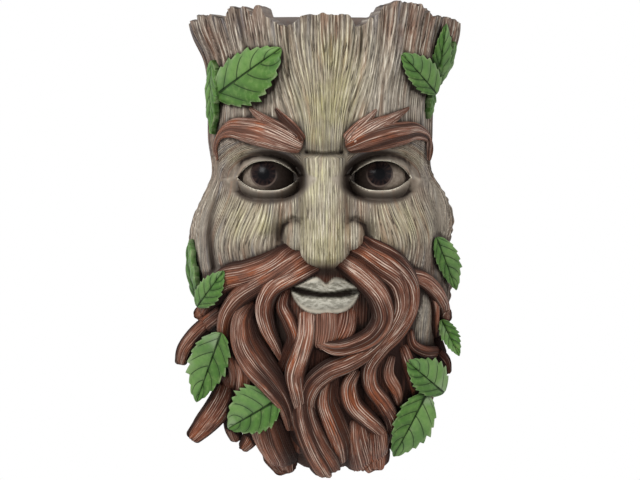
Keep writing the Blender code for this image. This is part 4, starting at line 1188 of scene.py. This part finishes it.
def hair_paint():
    p = Paint("painted_beard")
    across, along, wave = p.trait("across"), p.trait("along"), p.trait("strand").wave()
    deep, crest, pale, tone = p.trait("deep"), p.trait("crest"), p.trait("pale"), p.trait("tone")
    clump, edge, painted_shade_beneath = p.trait("clump"), p.trait("edge"), p.trait("painted_shade_beneath")
    breaks = p.drawn_out(across * 0.42, along * 0.016)
    gaps = p.drawn_out(across * 0.34, along * 0.014, 7.0)
    hairlines = p.drawn_out(across * 1.0, along * 0.040, 3.0, 3.0, 0.65)
    ribbons = p.drawn_out(across * 0.10, along * 0.020, 9.0, 2.0)
    patches = p.noise(p.place(), 45.0, 3.0)
    sheen = edge.step(0.65, 0.10) * clump.step(0.30, 0.9) * breaks.step(0.40, 0.60)
    ground = p.coats(
        p.mix(patches.step(0.38, 0.60), (0.115, 0.036, 0.020), (0.215, 0.074, 0.040)),
        (tone.step(0.2, 0.9) * 0.5, (0.240, 0.125, 0.088)),
        (ribbons.step(0.50, 0.62) * patches.step(0.42, 0.58) * 0.7, (0.300, 0.078, 0.024)),
        (sheen * (0.05 + pale * 0.45), (0.420, 0.280, 0.215)),
        # painted shade near each lock's start and over the beds
        (painted_shade_beneath * 0.85, (0.034, 0.012, 0.008)),
    )
    lit = wave.step(0.25, 1.0) * breaks.step(0.48, 0.61) * (0.35 + crest * 0.65) * (0.45 + pale)
    lit = lit + hairlines.step(0.54, 0.64) * (0.30 + pale * 0.7) * clump.step(0.1, 0.7) * (0.4 + crest * 0.6)
    lit = lit * (1 - deep * 0.9) * (1 - painted_shade_beneath)
    groove = wave.step(-0.20, -0.90) * gaps.step(0.44, 0.58) * 0.8
    groove = groove.larger(clump.step(0.38, 0.05) * 0.8).larger(hairlines.step(0.45, 0.35) * 0.75)
    # the dark of the grooves between strands and clumps, and painted shade where a lock lies low and down
    # both of its sides
    grooves_and_painted_shade = (deep * 1.15).larger(groove).larger(edge.step(0.50, 0.96) * 0.92)
    coats = ((lit.smaller(0.88), (0.640, 0.500, 0.410)), (grooves_and_painted_shade.smaller(0.98), (0.012, 0.005, 0.004)))
    height = wave * 0.2 + hairlines * 1.1
    return p.done(p.coats(ground, *coats), 0.50 - lit * 0.06 + grooves_and_painted_shade * 0.20, 0.12, height)


def leaf_paint():
    p = Paint("painted_leaf")
    half, far, off_vein = p.trait("half"), p.trait("place").size(), p.trait("vein_run").off_whole()
    patches = p.noise(p.place(), 60.0, 3.0)
    mottle = p.noise(p.place(), 300.0, 3.0, 0.6)
    glints = p.noise(p.place(), 34.0, 2.0, 0.5).step(0.52, 0.70) * half.step(0.55, 0.1) * 0.4
    vein = off_vein.step(0.055, 0.02) * far.step(0.97, 0.7) * 0.75
    rib = (far * (p.trait("blade").step(0.0, 0.4) + 0.35)).step(0.060, 0.025)
    # dark veins and midrib, painted shade where the leaf lies low or round its edge, and a darker underside
    dark = vein.larger(rib * 0.9).larger(p.trait("deep") * 0.95).larger(p.trait("under") * 0.8)
    colour = p.coats(
        p.mix(patches.step(0.36, 0.64), (0.056, 0.138, 0.024), (0.125, 0.235, 0.055)),
        (p.trait("tone") * 0.35, (0.100, 0.165, 0.070)),
        # painted shade on one half of the blade
        (half.step(0.45, 0.9) * 0.6, (0.034, 0.096, 0.012)),
        (mottle.step(0.50, 0.70) * 0.35, (0.190, 0.270, 0.090)),
        (mottle.step(0.48, 0.30) * 0.35, (0.030, 0.075, 0.012)),
        # painted light on the other half of the blade
        (half.step(0.55, 0.1) * 0.20, (0.170, 0.270, 0.120)),
        (off_vein.step(0.1, 0.45) * 0.25, (0.110, 0.260, 0.045)),
        (far.step(0.86, 0.99) * mottle.step(0.40, 0.6) * 0.45, (0.300, 0.360, 0.200)),
        (glints, (0.400, 0.480, 0.320)),
        (dark.smaller(0.95), (0.012, 0.030, 0.008)),
    )
    return p.done(colour, 0.34 + mottle * 0.2 + dark * 0.2, 0.22, mottle * 0.2 - vein * 0.8 - rib)


def eye_paint():
    p = Paint("glossy_eye")
    reach, inward, high = p.trait("from_iris"), p.trait("inward"), p.trait("high")
    mottle = p.noise(p.place(), 500.0, 2.0)
    spokes = p.drawn_out(p.trait("turn_in_iris") * 4.0, reach * 0.15, 0.0, 2.0, 0.5)
    shadow = (inward.step(-0.55, 0.15) * 0.93).larger(high.step(0.2, 1.0) * 0.85)
    shadow = shadow.larger(high.step(-0.35, -0.85) * 0.6)
    iris = p.mix(spokes.step(0.4, 0.65) * reach.step(4.0, 11.0), (0.007, 0.005, 0.006), (0.026, 0.015, 0.013))
    ring = reach.step(IRIS_REACH - 2.2, IRIS_REACH - 1.2) * reach.step(IRIS_REACH + 0.3, IRIS_REACH - 0.4)
    colour = p.coats(
        p.mix(mottle.step(0.35, 0.65), (0.160, 0.128, 0.100), (0.230, 0.188, 0.150)),
        (shadow, (0.014, 0.009, 0.008)),
        (reach.step(IRIS_REACH + 0.4, IRIS_REACH - 0.4), iris),
        (ring * high.step(0.9, -0.6) * 0.5, (0.200, 0.150, 0.125)),
        (reach.step(6.2, 5.2), (0.003, 0.003, 0.004)),
    )
    return p.done(colour, 0.22, 0.07)


def back_paint():
    p = Paint("plain_resin_back")
    patches = p.noise(p.place(), 35.0, 4.0)
    mottle = p.noise(p.place(), 420.0, 3.0, 0.6)
    colour = p.mix(patches.step(0.35, 0.65), (0.170, 0.130, 0.100), (0.230, 0.180, 0.140))
    return p.done(colour, 0.75 + mottle * 0.1, 0.5, mottle, 0.0002)


# Stage

def studio(low):
    bpy.ops.object.select_all(action="DESELECT")
    bpy.ops.mesh.primitive_plane_add(size=FLOOR_WIDE, location=(0, 0, low - FLOOR_DROP))
    floor = bpy.context.object
    floor.name = "floor"
    floor.data.materials.append(Paint("pale_floor").done((0.82, 0.82, 0.81), 0.9, 0.5))
    world = bpy.context.scene.world or bpy.data.worlds.new("studio")
    bpy.context.scene.world = world
    walls = Paint("studio", world)
    up = walls.node("ShaderNodeSeparateXYZ", None, {0: walls.node("ShaderNodeTexCoord").outputs["Generated"]})
    up = Number(walls, up.outputs["Z"])
    light = walls.mix(up.step(-0.30, -0.12), (0.30, 0.30, 0.30), (1.0, 1.0, 1.0))
    light = walls.mix(up.step(0.12, 0.35), light, (0.75, 0.75, 0.75))
    walls.plug(walls.shader, {"Color": light, "Strength": 1.0})
    bpy.context.scene.view_settings.view_transform = "Standard"
    target = Vector((0, -0.06, -0.06))
    for name, place, size, power in (
        ("key", (-0.9, -1.5, 1.1), 0.7, 26.0),
        ("fill", (1.4, -1.3, 0.3), 1.2, 6.0),
    ):
        lamp = bpy.data.lights.new(name, "AREA")
        lamp.size, lamp.energy = size, power
        light = bpy.data.objects.new(name, lamp)
        light.location = place
        light.rotation_euler = (target - Vector(place)).to_track_quat("-Z", "Y").to_euler()
        bpy.context.scene.collection.objects.link(light)


def camera():
    lens = bpy.data.cameras.new("camera")
    lens.sensor_width, lens.lens = 36.0, 200.0
    across = PHOTO_WIDE * SCALE[0]
    away = across * lens.lens / lens.sensor_width
    eye = bpy.data.objects.new("camera", lens)
    middle = to_metres((-4, 96, 240))
    eye.location = (middle[0], middle[1] - away, middle[2])
    eye.rotation_euler = (math.pi / 2, 0, 0)
    lens.clip_start, lens.clip_end = 0.05, 50
    bpy.context.scene.collection.objects.link(eye)
    bpy.context.scene.camera = eye


def main():
    bark, hair = bark_paint(), hair_paint()
    carved = [stump(bark)]
    carved += locks(hair)
    eyes = eye_paint()
    for name, side in (("left", -1), ("right", 1)):
        carved.append(eyeball(f"eye_{name}", side, eyes))
        carved.append(lid_rim(f"lid_{name}", side, bark))
    graph = bpy.context.evaluated_depsgraph_get()
    under_leaves = [piece for piece in carved if not piece.name.startswith(("eye", "lid"))]
    barks = [BVHTree.FromObject(piece, graph) for piece in under_leaves]
    carved += leaves(barks, leaf_paint())
    lay_painted_shade(carved)
    carved.append(back_plate(back_paint()))
    for piece in carved:
        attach(piece, "root")
        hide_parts("planter")
    camera()
    studio(cad_box[0].z)


main()
